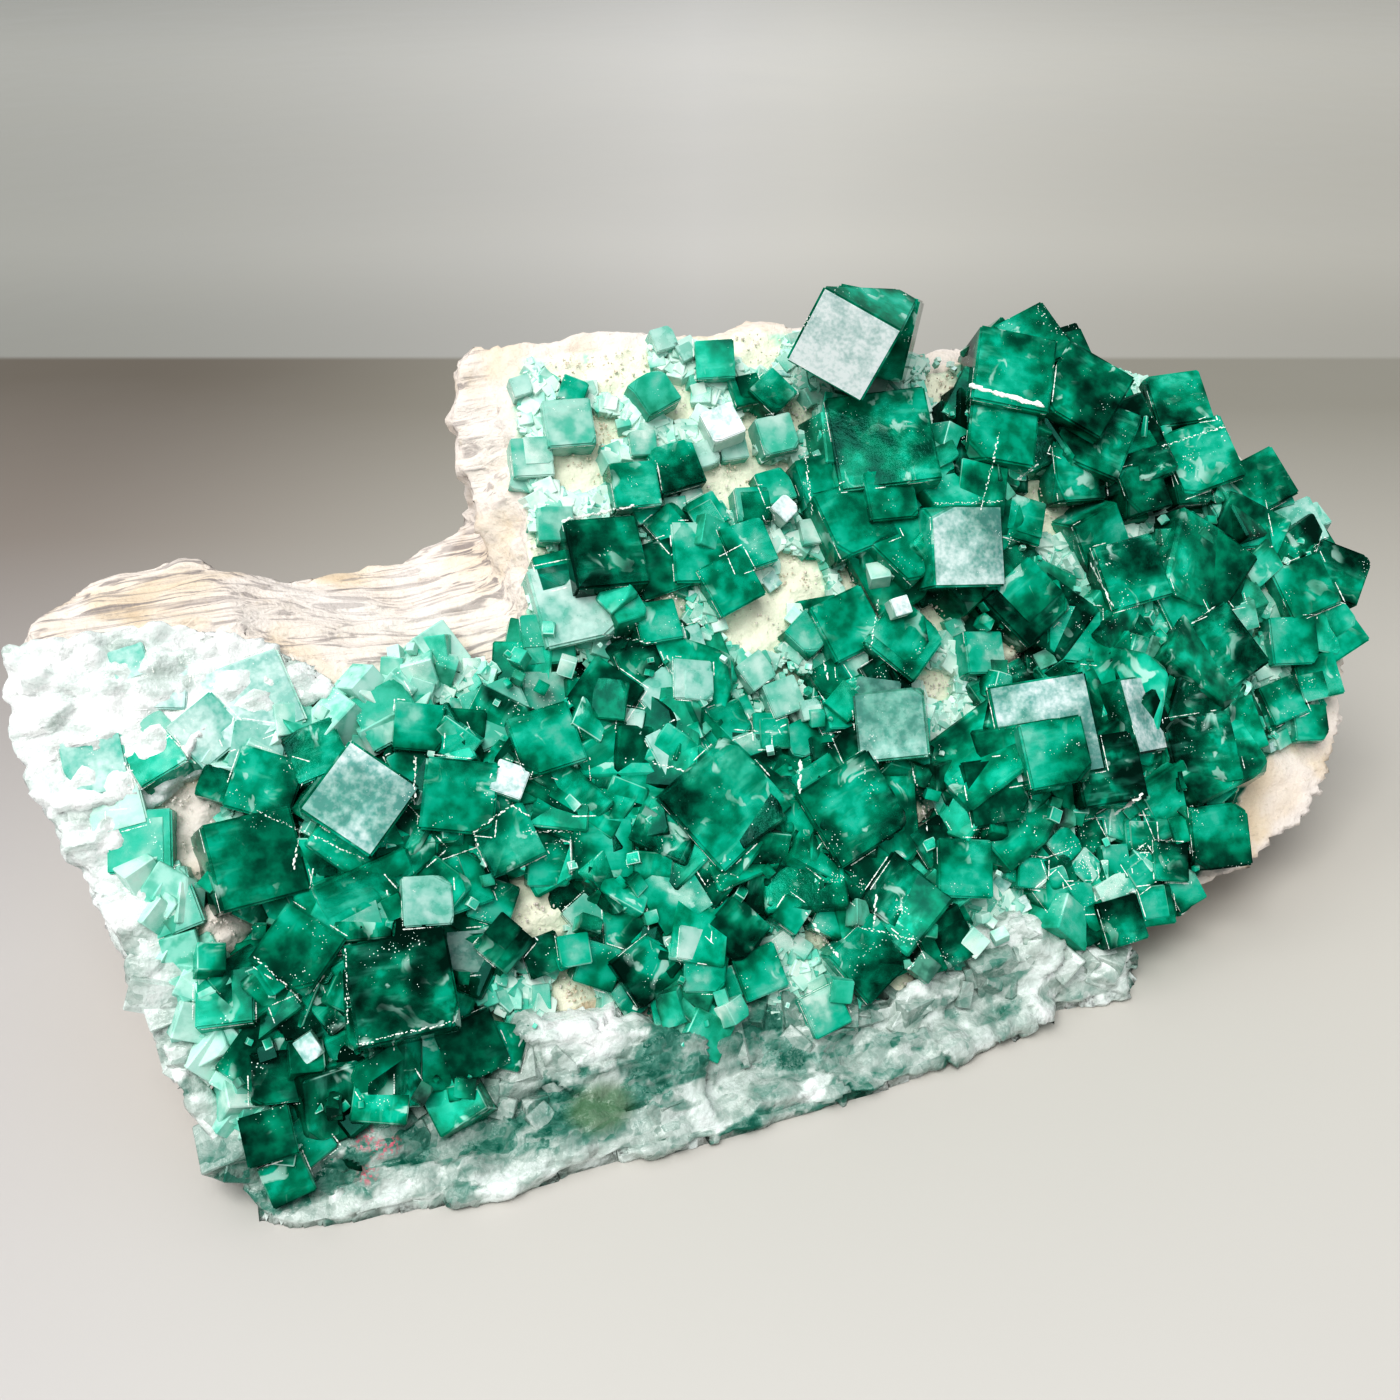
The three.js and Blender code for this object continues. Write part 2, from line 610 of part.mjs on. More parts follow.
const rock = loft(ROCK.map(rockRing));
const pale = bodiesOf(paleSolid().subtract(bedSolid(GAP, BED_MARGIN)))[0];

const bigCrystals = [
  ...LEFT_BANK, ...MIDDLE_BANK, ...RIGHT_BANK, ...LOWER_RIGHT_ROWS, ...SUMMIT, ...CROWN, ...PLATE_CRYSTALS,
];
const crystals = joined([...bigCrystals, ...fillCrystals(bigCrystals)]);
const grownRoom = crystals.subtract(bedSolid(BED_BELOW, BED_MARGIN));
const crystalBodies = bodiesOf(grownRoom.subtract(swollen(pale, 1.5 * GAP)).subtract(swollen(rock, GAP)));

addPiece('matrix_rock', rock, rockLook);
addPiece('massive_fluorite', pale, paleLook);
crystalBodies.forEach((body, i) => {
  const name = i === 0 ? 'crystal_druse' : `lone_crystal_${String(i).padStart(2, '0')}`;
  addPiece(name, body, i === 0 ? greenLook : lightGreenLook);
});

// The part's own origin is the middle of its footprint, on the surface that it rests on.
const reach = new THREE.Box3().setFromObject(cluster);
const middle = reach.getCenter(new THREE.Vector3());
cluster.position.set(-middle.x, -middle.y, -reach.min.z);

export default cluster;
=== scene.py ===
# %% [markdown]
# # A cluster of green fluorite cubes
# The specimen is a leaning slab of cream rock. One face is grown over with deep green cubes, and
# white to mint fluorite edges it along the table and up the left side. Blender loads the packed
# solids as a fixed frame first, so that every piece made here lands where the solids say. All the
# measures below are millimetres in the work's own frame: along the front edge, up the leaning
# face, and out of it. One shift at the end of each mesh takes them to the frame in metres.

# %% The frame
import math

import bmesh
import bpy
import numpy as np
from mathutils import Matrix, Vector, noise
from mathutils.bvhtree import BVHTree


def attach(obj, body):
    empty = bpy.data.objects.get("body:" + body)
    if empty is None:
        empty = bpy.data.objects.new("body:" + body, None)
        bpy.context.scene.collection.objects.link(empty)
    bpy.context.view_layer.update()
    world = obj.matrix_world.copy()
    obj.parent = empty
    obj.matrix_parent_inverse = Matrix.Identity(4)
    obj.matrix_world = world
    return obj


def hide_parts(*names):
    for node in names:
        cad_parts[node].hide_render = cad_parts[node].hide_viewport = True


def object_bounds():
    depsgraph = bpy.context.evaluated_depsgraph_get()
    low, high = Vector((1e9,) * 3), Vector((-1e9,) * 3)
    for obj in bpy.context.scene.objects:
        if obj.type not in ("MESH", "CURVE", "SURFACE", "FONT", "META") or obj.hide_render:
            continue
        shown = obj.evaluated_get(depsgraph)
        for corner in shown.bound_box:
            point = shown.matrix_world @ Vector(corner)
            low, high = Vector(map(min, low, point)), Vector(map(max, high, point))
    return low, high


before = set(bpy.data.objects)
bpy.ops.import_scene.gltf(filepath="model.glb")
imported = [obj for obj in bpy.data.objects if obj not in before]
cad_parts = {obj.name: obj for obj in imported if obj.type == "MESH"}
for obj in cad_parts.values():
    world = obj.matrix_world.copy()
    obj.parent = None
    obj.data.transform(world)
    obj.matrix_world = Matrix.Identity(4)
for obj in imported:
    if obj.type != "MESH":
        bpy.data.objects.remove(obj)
CAD_LOW, CAD_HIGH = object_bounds()
MM = 0.001
WORK_LOW = np.array((-33.0, -10.93, 0.0))  # the specimen's lowest corner in the work's own measures
SHIFT = np.array(CAD_LOW) / MM - WORK_LOW
print("solids, mm:", [round(side / MM, 1) for side in CAD_HIGH - CAD_LOW])

# %% [markdown]
# The crystal face rises at 48 degrees. A place on it is easiest to give as two lengths, along and
# up, so these helpers turn such a pair into a point. Crystals were read where the eye sees them in
# the picture, so towards_eye slides a place along the line of sight until it stands proud.

# %% Places on the leaning face
SLOPE = math.radians(48)
EYE = Vector((19, -193, 228))
ACROSS = Vector((1, 0, 0))
UP_FACE = Vector((0, math.cos(SLOPE), math.sin(SLOPE)))
OUT = Vector((0, -math.sin(SLOPE), math.cos(SLOPE)))
FACE_BASIS = Matrix((ACROSS, UP_FACE, OUT)).transposed()


def on_face(along, up, out=0.0):
    return ACROSS * along + UP_FACE * up + OUT * out


def towards_eye(along, up, stand):
    place = on_face(along, up)
    sight = (EYE - place).normalized()
    return place + sight * (stand / sight.dot(OUT))


def seen_place(point):
    """Where on the plane of the face the eye sees a point, as along and up."""
    sight = (EYE - point).normalized()
    flat = point - sight * (point.dot(OUT) / sight.dot(OUT))
    return flat.dot(ACROSS), flat.dot(UP_FACE)


def metres(points):
    """Work measures to the frame's metres, kept inside the box of the solids."""
    moved = (np.asarray(points, dtype=float) + SHIFT) * MM
    return np.clip(moved, np.array(CAD_LOW), np.array(CAD_HIGH))


print("from the eye to the middle of the face, mm:", round((EYE - on_face(125, 80)).length))


# %% [markdown]
# The picture was taken by hand from the front left, looking down at 32 degrees. The camera stands
# where the straight lines of the table and the specimen meet that view.

# %% The camera
CAMERA_PLACE = np.array((19.1, -192.7, 228.0))
CAMERA_PITCH = math.radians(32)
CAMERA_YAW = math.radians(19.28)
camera_data = bpy.data.cameras.new("camera")
camera_data.lens = 36.1
camera_data.sensor_width = 36
camera_data.clip_start = 0.01
camera = bpy.data.objects.new("camera", camera_data)
bpy.context.collection.objects.link(camera)
camera.location = (CAMERA_PLACE + SHIFT) * MM
camera.rotation_euler = (math.pi / 2 - CAMERA_PITCH, 0, -CAMERA_YAW)
bpy.context.scene.camera = camera
print("camera at", [round(value, 3) for value in camera.location])

# %% [markdown]
# A shader is a small tree of nodes. It could be drawn by hand in the shader editor, but in code it
# can be read, repeated and changed in one place. These short helpers keep the trees below readable:
# they add a node and plug its inputs, do sums on values and on vectors, and draw out a place.

# %% Short ways to add a node and do sums


def add_node(tree, kind, inputs=(), **settings):
    """Adds a node. inputs holds values or sockets, in a list by order or in a dictionary by name."""
    node = tree.nodes.new(kind)
    for name, value in settings.items():
        setattr(node, name, value)
    pairs = inputs.items() if isinstance(inputs, dict) else enumerate(inputs)
    for key, value in pairs:
        if isinstance(value, bpy.types.NodeSocket):
            tree.links.new(value, node.inputs[key])
        elif value is not None:
            node.inputs[key].default_value = value
    return node


def maths(tree, operation, *values):
    return add_node(tree, "ShaderNodeMath", values, operation=operation).outputs[0]


def vectors(tree, operation, *values, scale=None):
    """Sums on vectors, such as places, directions and colours."""
    inputs = dict(enumerate(values))
    if scale is not None:
        inputs["Scale"] = scale
    return add_node(tree, "ShaderNodeVectorMath", inputs, operation=operation).outputs[0]


def drawn_out(tree, vector, turn, scale):
    """A place turned and scaled, which draws out the noise that reads it."""
    return add_node(tree, "ShaderNodeMapping", [vector, None, turn, scale]).outputs[0]


# %% [markdown]
# Stone and crystal change softly from place to place. Four helpers do most of that: a fade between
# two limits, a mix of two colours, a band of colours, and cloudy noise. The noise takes a seed, and
# each step of the seed reads it some millimetres further on, so no two crystals show the same cloud.

# %% Short ways to fade, mix and make noise
SEED_STEP = (7.0, 11.0, 5.0)


def fade(tree, value, low, high, start=0.0, end=1.0):
    """Runs smoothly from start to end while value runs from low to high."""
    node = add_node(tree, "ShaderNodeMapRange", [value, low, high, start, end])
    node.interpolation_type = "SMOOTHSTEP"
    return node.outputs[0]


def mixed(tree, factor, first, second):
    """Colour first where factor is 0 and second where it is 1."""
    node = tree.nodes.new("ShaderNodeMix")
    node.data_type = "RGBA"
    for index, value in ((0, factor), (6, first), (7, second)):
        if isinstance(value, bpy.types.NodeSocket):
            tree.links.new(value, node.inputs[index])
        else:
            node.inputs[index].default_value = value
    return node.outputs[2]


def ramp(tree, value, stops):
    node = add_node(tree, "ShaderNodeValToRGB", [value])
    band = node.color_ramp
    while len(band.elements) < len(stops):
        band.elements.new(0.5)
    for element, (position, colour) in zip(band.elements, stops):
        element.position = position
        element.color = (*colour, 1)
    return node.outputs[0]


def grain(tree, vector, scale, detail=3.0, seed=None, twist=0.0):
    """Cloudy noise with features about 1 / scale across. seed picks another cloud of the same kind."""
    node = tree.nodes.new("ShaderNodeTexNoise")
    if seed is not None:
        vector = vectors(tree, "MULTIPLY_ADD", seed, SEED_STEP, vector)
    tree.links.new(vector, node.inputs["Vector"])
    node.inputs["Scale"].default_value = scale
    node.inputs["Detail"].default_value = detail
    node.inputs["Distortion"].default_value = twist
    return node.outputs["Fac"]


print("one step of the seed goes, mm:", round(math.hypot(*SEED_STEP), 1))

# %% [markdown]
# Some effects belong to more than one material. A node group holds such an effect once, with named
# inputs and outputs, and each material places it with values of its own. These helpers make an
# empty group, place one, and start a material whose surface shader is already joined up.

# %% Short ways to build groups and materials


def new_group(name, inputs, outputs):
    """An empty shader group. inputs and outputs are name and kind: Float, Vector or Color."""
    tree = bpy.data.node_groups.new(name, "ShaderNodeTree")
    for word, kind in inputs:
        tree.interface.new_socket(name=word, in_out="INPUT", socket_type=f"NodeSocket{kind}")
    for word, kind in outputs:
        tree.interface.new_socket(name=word, in_out="OUTPUT", socket_type=f"NodeSocket{kind}")
    return tree, tree.nodes.new("NodeGroupInput").outputs, tree.nodes.new("NodeGroupOutput").inputs


def place_group(tree, group, inputs):
    node = tree.nodes.new("ShaderNodeGroup")
    node.node_tree = group
    for key, value in inputs.items():
        if isinstance(value, bpy.types.NodeSocket):
            tree.links.new(value, node.inputs[key])
        else:
            node.inputs[key].default_value = value
    return node.outputs


def new_material(name):
    material = bpy.data.materials.new(name)
    material.use_nodes = True
    tree = material.node_tree
    tree.nodes.clear()
    shader = tree.nodes.new("ShaderNodeBsdfPrincipled")
    output = tree.nodes.new("ShaderNodeOutputMaterial")
    tree.links.new(shader.outputs[0], output.inputs["Surface"])
    return material, tree, shader, output


def plug(tree, shader, name, value):
    if isinstance(value, bpy.types.NodeSocket):
        tree.links.new(value, shader.inputs[name])
    else:
        shader.inputs[name].default_value = value


# %% [markdown]
# Every crystal carries its own measures as attributes on its points: its place inside the cube in
# mm from the cube's middle, half its edge, a seed, and three looks. From the place alone the
# shader knows how far a spot is from the nearest cube edge, whether it is on the front face, and
# whether a corner has been broken off there.

# %% Group: where a spot lies on its cube
zones, given, wanted = new_group(
    "cube_zones",
    [("Place", "Vector"), ("Half", "Float")],
    [("Edge", "Float"), ("Front", "Float"), ("Broken", "Float")],
)
size = vectors(zones, "ABSOLUTE", given["Place"])
sides = add_node(zones, "ShaderNodeSeparateXYZ", [size]).outputs
most = maths(zones, "MAXIMUM", maths(zones, "MAXIMUM", sides[0], sides[1]), sides[2])
least = maths(zones, "MINIMUM", maths(zones, "MINIMUM", sides[0], sides[1]), sides[2])
both = maths(zones, "ADD", maths(zones, "ADD", sides[0], sides[1]), sides[2])
middle = maths(zones, "SUBTRACT", maths(zones, "SUBTRACT", both, most), least)
height = add_node(zones, "ShaderNodeSeparateXYZ", [given["Place"]]).outputs[2]
depth = maths(zones, "SUBTRACT", given["Half"], height)
inside = maths(zones, "SUBTRACT", given["Half"], most)
zones.links.new(maths(zones, "SUBTRACT", given["Half"], middle), wanted["Edge"])
zones.links.new(fade(zones, depth, 0.5, 0.3), wanted["Front"])
zones.links.new(fade(zones, inside, 0.45, 0.7), wanted["Broken"])
print("cube_zones gives:", [socket.name for socket in wanted if socket.name])

# %% [markdown]
# Fluorite of this kind is clear only in places. Veils of tiny bubbles drift through it, so its
# green is cloudy, with brighter and darker sides, milky islands and drawn out streaks. A volume
# with real bubbles would be far too slow for some thousand crystals. Noise in each crystal's own
# space looks the same from outside, and the seed makes each crystal's veils its own.

# %% Group: veils inside a crystal
veils, given, wanted = new_group(
    "inner_veils",
    [("Place", "Vector"), ("Half", "Float"), ("Seed", "Float")],
    [(word, "Float") for word in ("Cloud", "Wisp", "Island", "Streak", "Slope")],
)
broad = grain(veils, given["Place"], 0.078, 2, given["Seed"])
fine = grain(veils, given["Place"], 0.31, 3, given["Seed"])
veils.links.new(fade(veils, broad, 0.34, 0.68), wanted["Cloud"])
veils.links.new(fade(veils, fine, 0.32, 0.70), wanted["Wisp"])
other_seed = maths(veils, "ADD", given["Seed"], 31.0)
torn = grain(veils, given["Place"], 0.17, 3, other_seed, 0.8)
veils.links.new(fade(veils, torn, 0.60, 0.66), wanted["Island"])
drawn = drawn_out(veils, given["Place"], (0.5, 0.3, 0.7), (0.16, 0.6, 0.4))
streaky = grain(veils, drawn, 1.0, 2, given["Seed"])
veils.links.new(fade(veils, streaky, 0.50, 0.72), wanted["Streak"])
own_way = add_node(veils, "ShaderNodeTexWhiteNoise", {"W": given["Seed"]}, noise_dimensions="1D")
own_way = vectors(veils, "SUBTRACT", own_way.outputs["Color"], (0.5, 0.5, 0.5))
slope = add_node(veils, "ShaderNodeVectorMath", [own_way, given["Place"]], operation="DOT_PRODUCT")
slope = maths(veils, "DIVIDE", slope.outputs["Value"], given["Half"])
veils.links.new(slope, wanted["Slope"])
print("inner_veils gives:", [socket.name for socket in wanted if socket.name])

# %% [markdown]
# White lime dust lies on the crystals in loose sprinkles. Loose grains as meshes would need far too
# many points at this size, so the dust is a colour. A Voronoi texture has one dot in each of its
# cells, and a broad noise decides where the dots are shown at all, so they come in drifts.

# %% Group: lime dust
dusting, given, wanted = new_group(
    "lime_dust",
    [("Place", "Vector"), ("Seed", "Float"), ("Amount", "Float")],
    [("Dust", "Float")],
)
cells = add_node(dusting, "ShaderNodeTexVoronoi", {"Vector": given["Place"], "Scale": 1.5})
drift = grain(dusting, given["Place"], 0.16, 2, given["Seed"])
reach = fade(dusting, drift, 0.50, 0.74, 0.0, 0.24)
reach = maths(dusting, "MULTIPLY", reach, given["Amount"])
dot = maths(dusting, "LESS_THAN", cells.outputs["Distance"], reach)
dusting.links.new(dot, wanted["Dust"])
print("shader groups:", [group.name for group in bpy.data.node_groups])

# %% [markdown]
# A material can read more than colours and noise. Every point of the crystals carries attributes,
# which are numbers stored on the mesh, and every surface point knows its own place. Reading the
# place in the work's millimetres lets one noise run on over several pieces without a seam.

# %% What a material reads from its mesh


def work_place(tree):
    """The surface point in the work's own measures."""
    point = add_node(tree, "ShaderNodeTexCoord").outputs["Object"]
    in_mm = vectors(tree, "SCALE", point, scale=1 / MM)
    return vectors(tree, "SUBTRACT", in_mm, tuple(SHIFT))


def attribute(tree, name, output):
    return add_node(tree, "ShaderNodeAttribute", attribute_name=name).outputs[output]


def around(tree, value, size):
    """A value of 0 to 1 as a shift of plus or minus half of size."""
    return maths(tree, "MULTIPLY", maths(tree, "SUBTRACT", value, 0.5), size)


print("the frame's zero in the work's mm:", [round(float(value), 1) for value in -SHIFT])

# %% [markdown]
# Light goes into a green crystal, loses its red on the way and comes back from the veils inside.
# One colour for all cubes would look like plastic. So each crystal has a tone, the veils shift it
# up and down, and a band of greens from nearly black to pale mint turns the sum into a colour.
# Milky places, streaks, torn white islands and painted highlights along the edges lie over that.

# %% The cloudy green
GREENS = [
    (0.00, (0.0001, 0.018, 0.010)),
    (0.18, (0.0002, 0.095, 0.055)),
    (0.36, (0.0003, 0.230, 0.130)),
    (0.52, (0.0005, 0.390, 0.250)),
    (0.64, (0.0200, 0.470, 0.325)),
    (0.76, (0.1300, 0.490, 0.375)),
    (0.88, (0.4000, 0.630, 0.540)),
    (1.00, (0.7600, 0.850, 0.780)),
]
MILK = (0.01, 0.62, 0.44, 1)
STREAK_MINT = (0.22, 0.72, 0.57, 1)
ISLAND_WHITE = (0.60, 0.82, 0.74, 1)
# the colour of the painted highlight along the cube edges
EDGE_HIGHLIGHT = (0.62, 0.82, 0.75, 1)


def cloudy_green(tree, tone, half, zone, veil):
    """The colour of a crystal's inside. tone runs from 0, nearly black, to 1, pale mint."""
    share = maths(tree, "DIVIDE", zone["Edge"], half)
    calm = fade(tree, tone, 0.5, 1.0, 1.0, 0.45)
    swing = maths(tree, "ADD", around(tree, veil["Cloud"], 0.38), around(tree, veil["Wisp"], 0.20))
    swing = maths(tree, "ADD", swing, maths(tree, "MULTIPLY", veil["Slope"], 0.30))
    # painted shade: each face is a little darker near its edges and lighter in its middle, and the front
    # face lighter than the sides
    swing = maths(tree, "ADD", swing, fade(tree, share, 0.0, 0.7, -0.03, 0.03))
    swing = maths(tree, "ADD", swing, fade(tree, zone["Front"], 0.0, 1.0, -0.03, 0.02))
    level = maths(tree, "ADD", tone, maths(tree, "MULTIPLY", swing, calm))
    colour = ramp(tree, level, GREENS)
    milky = fade(tree, veil["Cloud"], 0.55, 1.0)
    milky = maths(tree, "MULTIPLY", milky, fade(tree, veil["Wisp"], 0.35, 0.9))
    colour = mixed(tree, maths(tree, "MULTIPLY", milky, 0.25), colour, MILK)
    streak = maths(tree, "MULTIPLY", veil["Streak"], fade(tree, veil["Cloud"], 0.2, 1.0, 0.0, 0.26))
    colour = mixed(tree, streak, colour, STREAK_MINT)
    island = maths(tree, "MULTIPLY", veil["Island"], fade(tree, veil["Cloud"], 0.1, 1.1, 0.0, 0.7))
    colour = mixed(tree, island, colour, ISLAND_WHITE)
    # painted highlight: a lighter colour along the cube edges, where the bevels catch the light
    edge_highlight = fade(tree, zone["Edge"], 0.34, 0.10)
    edge_highlight = maths(tree, "MULTIPLY", edge_highlight, fade(tree, veil["Cloud"], 0.45, 0.9))
    return mixed(tree, maths(tree, "MULTIPLY", edge_highlight, 0.7), colour, EDGE_HIGHLIGHT)


print("greens from nearly black to pale mint:", len(GREENS))

# %% [markdown]
# A few cubes have a silvery face turned to the eye, where their front face mirrors a bright light.
# That reflection is painted: a brushed, mottled sheen colour on the front face only, from two
# noises, and the roughness rises with it. A mirror there would show the lamps, so the paint stands in.

# %% The painted sheen on the silvery faces
# the light and dark ends of the painted reflection on the front faces
SHEEN_LIGHT = (0.93, 0.97, 0.97, 1)
SHEEN_DARK = (0.20, 0.45, 0.41, 1)


def silver(tree, sheen, mottle, veil):
    """The colour of the painted sheen, a reflection painted on. A sheen above 1 makes it lighter and more
    even.
    """
    patchy = maths(tree, "ADD", around(tree, veil["Cloud"], 0.5), around(tree, veil["Wisp"], 0.5))
    patchy = maths(tree, "MULTIPLY", patchy, fade(tree, sheen, 1.0, 1.5, 1.0, 0.8))
    brushed = maths(tree, "ADD", fade(tree, mottle, 0.25, 0.75, 0.22, 0.66), patchy)
    brushed = maths(tree, "ADD", brushed, fade(tree, sheen, 1.0, 1.5, 0.0, 0.50))
    return mixed(tree, brushed, SHEEN_DARK, SHEEN_LIGHT)


print("silver runs from", SHEEN_DARK[:3], "to", SHEEN_LIGHT[:3])

# %% [markdown]
# Here the parts come together. A share of the shader is see-through, with fluorite's low index of
# 1.434 and a plain absorption that takes the red out, and the rest is the cloudy green. Frosted
# faces are rough and whitish. The big crystals let some light through. The small ones are too thin
# and too many for that, so their material is the same one without the see-through share.

# %% Material: green fluorite
FLUORITE_IOR = 1.434
FROST = (0.50, 0.77, 0.69, 1)
DUST_WHITE = (0.80, 0.86, 0.80, 1)
GREEN_GLINT = (0.20, 0.85, 0.70, 1)
RED_TAKEN = (0.0, 0.92, 0.86, 1)


def green_fluorite(name, see_through, absorption):
    material, tree, shader, output = new_material(name)
    place = attribute(tree, "place", "Vector")
    half = attribute(tree, "half", "Fac")
    seed = attribute(tree, "seed", "Fac")
    looks = attribute(tree, "looks", "Vector")
    tone, sheen, frost = add_node(tree, "ShaderNodeSeparateXYZ", [looks]).outputs
    zone = place_group(tree, zones, {"Place": place, "Half": half})
    veil = place_group(tree, veils, {"Place": place, "Half": half, "Seed": seed})
    dust = place_group(tree, dusting, {"Place": place, "Seed": seed, "Amount": 1.0})["Dust"]

    colour = cloudy_green(tree, tone, half, zone, veil)
    frosting = maths(tree, "MULTIPLY", frost, fade(tree, veil["Wisp"], -0.4, 0.8, 0.2, 1.15))
    frosting = maths(tree, "MAXIMUM", frosting, maths(tree, "MULTIPLY", zone["Broken"], 0.10))
    colour = mixed(tree, frosting, colour, FROST)
    mottle = grain(tree, place, 1.1, 3, seed)
    # painted sheen: the front face is mixed towards the painted reflection where a sheen is set
    shine = maths(tree, "MULTIPLY", sheen, zone["Front"])
    shine = maths(tree, "MULTIPLY", shine, fade(tree, veil["Cloud"], -1.1, 0.7))
    colour = mixed(tree, maths(tree, "MINIMUM", shine, 1.0), colour, silver(tree, sheen, mottle, veil))
    plug(tree, shader, "Base Color", mixed(tree, dust, colour, DUST_WHITE))

    rough = maths(tree, "ADD", 0.07, maths(tree, "MULTIPLY", frosting, 0.45))
    rough = maths(tree, "ADD", rough, maths(tree, "MULTIPLY", shine, 0.30))
    rough = maths(tree, "ADD", rough, maths(tree, "MULTIPLY", dust, 0.55))
    plug(tree, shader, "Roughness", maths(tree, "MINIMUM", rough, 0.9))
    relief = maths(tree, "ADD", maths(tree, "MULTIPLY", mottle, 0.30), maths(tree, "MULTIPLY", dust, 0.6))
    bump = add_node(tree, "ShaderNodeBump", {"Strength": 0.22, "Distance": 0.0003, "Height": relief})
    plug(tree, shader, "Normal", bump.outputs[0])
    plug(tree, shader, "IOR", FLUORITE_IOR)
    plug(tree, shader, "Specular IOR Level", 0.3)
    plug(tree, shader, "Specular Tint", GREEN_GLINT)
    plug(tree, shader, "Transmission Weight", see_through)
    if absorption:
        inputs = {"Color": RED_TAKEN, "Density": absorption}
        volume = add_node(tree, "ShaderNodeVolumeAbsorption", inputs)
        tree.links.new(volume.outputs[0], output.inputs["Volume"])
    print(name, "nodes:", len(tree.nodes))
    return material


green = green_fluorite("green_fluorite", 0.15, 900.0)
green_crust = green_fluorite("green_crust", 0.0, 0.0)

# %% [markdown]
# Cream stone is used on the matrix rock and on the crumbs that lie between the crystals. It is a
# fine-grained, matt stone: cream with tan and yellow stains, and grey-brown fibres where it has
# split along its grain. The fibres run along the arm, so the noise is drawn out along that way.

# %% Group: cream stone
stone, given, wanted = new_group(
    "cream_stone",
    [("Place", "Vector"), ("Fibres", "Float")],
    [("Color", "Color"), ("Height", "Float")],
)
patch = grain(stone, given["Place"], 0.05, 4, None, 0.6)
speck = grain(stone, given["Place"], 0.9, 4, None, 0.3)
along_grain = drawn_out(stone, given["Place"], (0.0, 0.12, 0.22), (0.011, 0.62, 0.55))
fibre = grain(stone, along_grain, 1.0, 6, None, 0.9)
body = ramp(stone, patch, [
    (0.30, (0.77, 0.72, 0.68)),
    (0.50, (0.77, 0.695, 0.63)),
    (0.64, (0.73, 0.62, 0.49)),
    (0.80, (0.58, 0.46, 0.32)),
])
band = fade(stone, patch, 0.36, 0.60, 0.45, 0.90)
streak = maths(stone, "MULTIPLY", fade(stone, fibre, 0.48, 0.64), given["Fibres"])
body = mixed(stone, maths(stone, "MULTIPLY", streak, band), body, (0.27, 0.24, 0.235, 1))
body = mixed(stone, fade(stone, speck, 0.58, 0.76, 0.0, 0.45), body, (0.52, 0.45, 0.34, 1))
stone.links.new(body, wanted["Color"])
rise = maths(stone, "MULTIPLY", fibre, given["Fibres"])
rise = maths(stone, "ADD", rise, maths(stone, "MULTIPLY", speck, 0.5))
stone.links.new(rise, wanted["Height"])
print("cream_stone gives:", [socket.name for socket in wanted if socket.name])

# %% [markdown]
# The rock and the crumbs share that stone, and only the depth of the relief differs. Where the
# rock's face has grown over, what shows in the gaps between the crystals is dark green, or a light
# crust of cream and mint. Attributes that the rock's mesh carries tell the material where.

# %% Material: matrix rock and crumbs
CRUST_CREAM = (0.86, 0.85, 0.70, 1)
CRUST_MINT = (0.42, 0.74, 0.58, 1)
GAP_GREEN = (0.003, 0.19, 0.12, 1)


def cream_rock(name, relief):
    material, tree, shader, _ = new_material(name)
    fibres = attribute(tree, "fibres", "Fac")
    look = place_group(tree, stone, {"Place": work_place(tree), "Fibres": fibres})
    grown = attribute(tree, "grown", "Fac")
    patchy = fade(tree, grain(tree, work_place(tree), 0.16, 4, None, 0.8), 0.40, 0.60)
    mint = maths(tree, "MULTIPLY", patchy, attribute(tree, "mint", "Fac"))
    light = mixed(tree, mint, CRUST_CREAM, CRUST_MINT)
    crusted = mixed(tree, attribute(tree, "pale", "Fac"), GAP_GREEN, light)
    bump = add_node(tree, "ShaderNodeBump", {"Strength": 0.7, "Distance": relief, "Height": look["Height"]})
    plug(tree, shader, "Base Color", mixed(tree, grown, look["Color"], crusted))
    plug(tree, shader, "Roughness", 0.88)
    plug(tree, shader, "Normal", bump.outputs[0])
    print(name, "nodes:", len(tree.nodes))
    return material


rock_look = cream_rock("matrix_rock", 0.0012)
crumb_look = cream_rock("lime_crumbs", 0.0002)

# %% [markdown]
# Massive fluorite is the same mineral without room to form cubes. It is white to mint and cloudy,
# with grey, mauve and olive places, and it breaks along flat planes that catch the light. Planes
# this small would need a very fine mesh. Voronoi cells, bent a little and drawn out, give each
# plane a shade and a tilt of its own, on top of the larger breaks that the mesh really has.

# %% Material: massive fluorite
pale, tree, shader, _ = new_material("massive_fluorite")
place = work_place(tree)
chunk = attribute(tree, "chunk", "Fac")
broad = grain(tree, place, 0.10, 3)
veined = grain(tree, place, 0.40, 3, None, 1.2)
bend = add_node(tree, "ShaderNodeTexNoise", {"Vector": place, "Scale": 0.2}).outputs["Color"]
bent = vectors(tree, "MULTIPLY_ADD", bend, (5.0, 5.0, 5.0), place)
shards = drawn_out(tree, bent, (0.2, 0.5, 0.3), (0.20, 0.42, 0.42))
shards = add_node(tree, "ShaderNodeTexVoronoi", {"Vector": shards, "Scale": 1.0}).outputs["Color"]
own = add_node(tree, "ShaderNodeSeparateXYZ", [shards]).outputs[0]
level = maths(tree, "ADD", chunk, around(tree, broad, 0.6))
level = maths(tree, "ADD", level, around(tree, veined, 0.4))
level = maths(tree, "ADD", level, around(tree, own, 0.22))
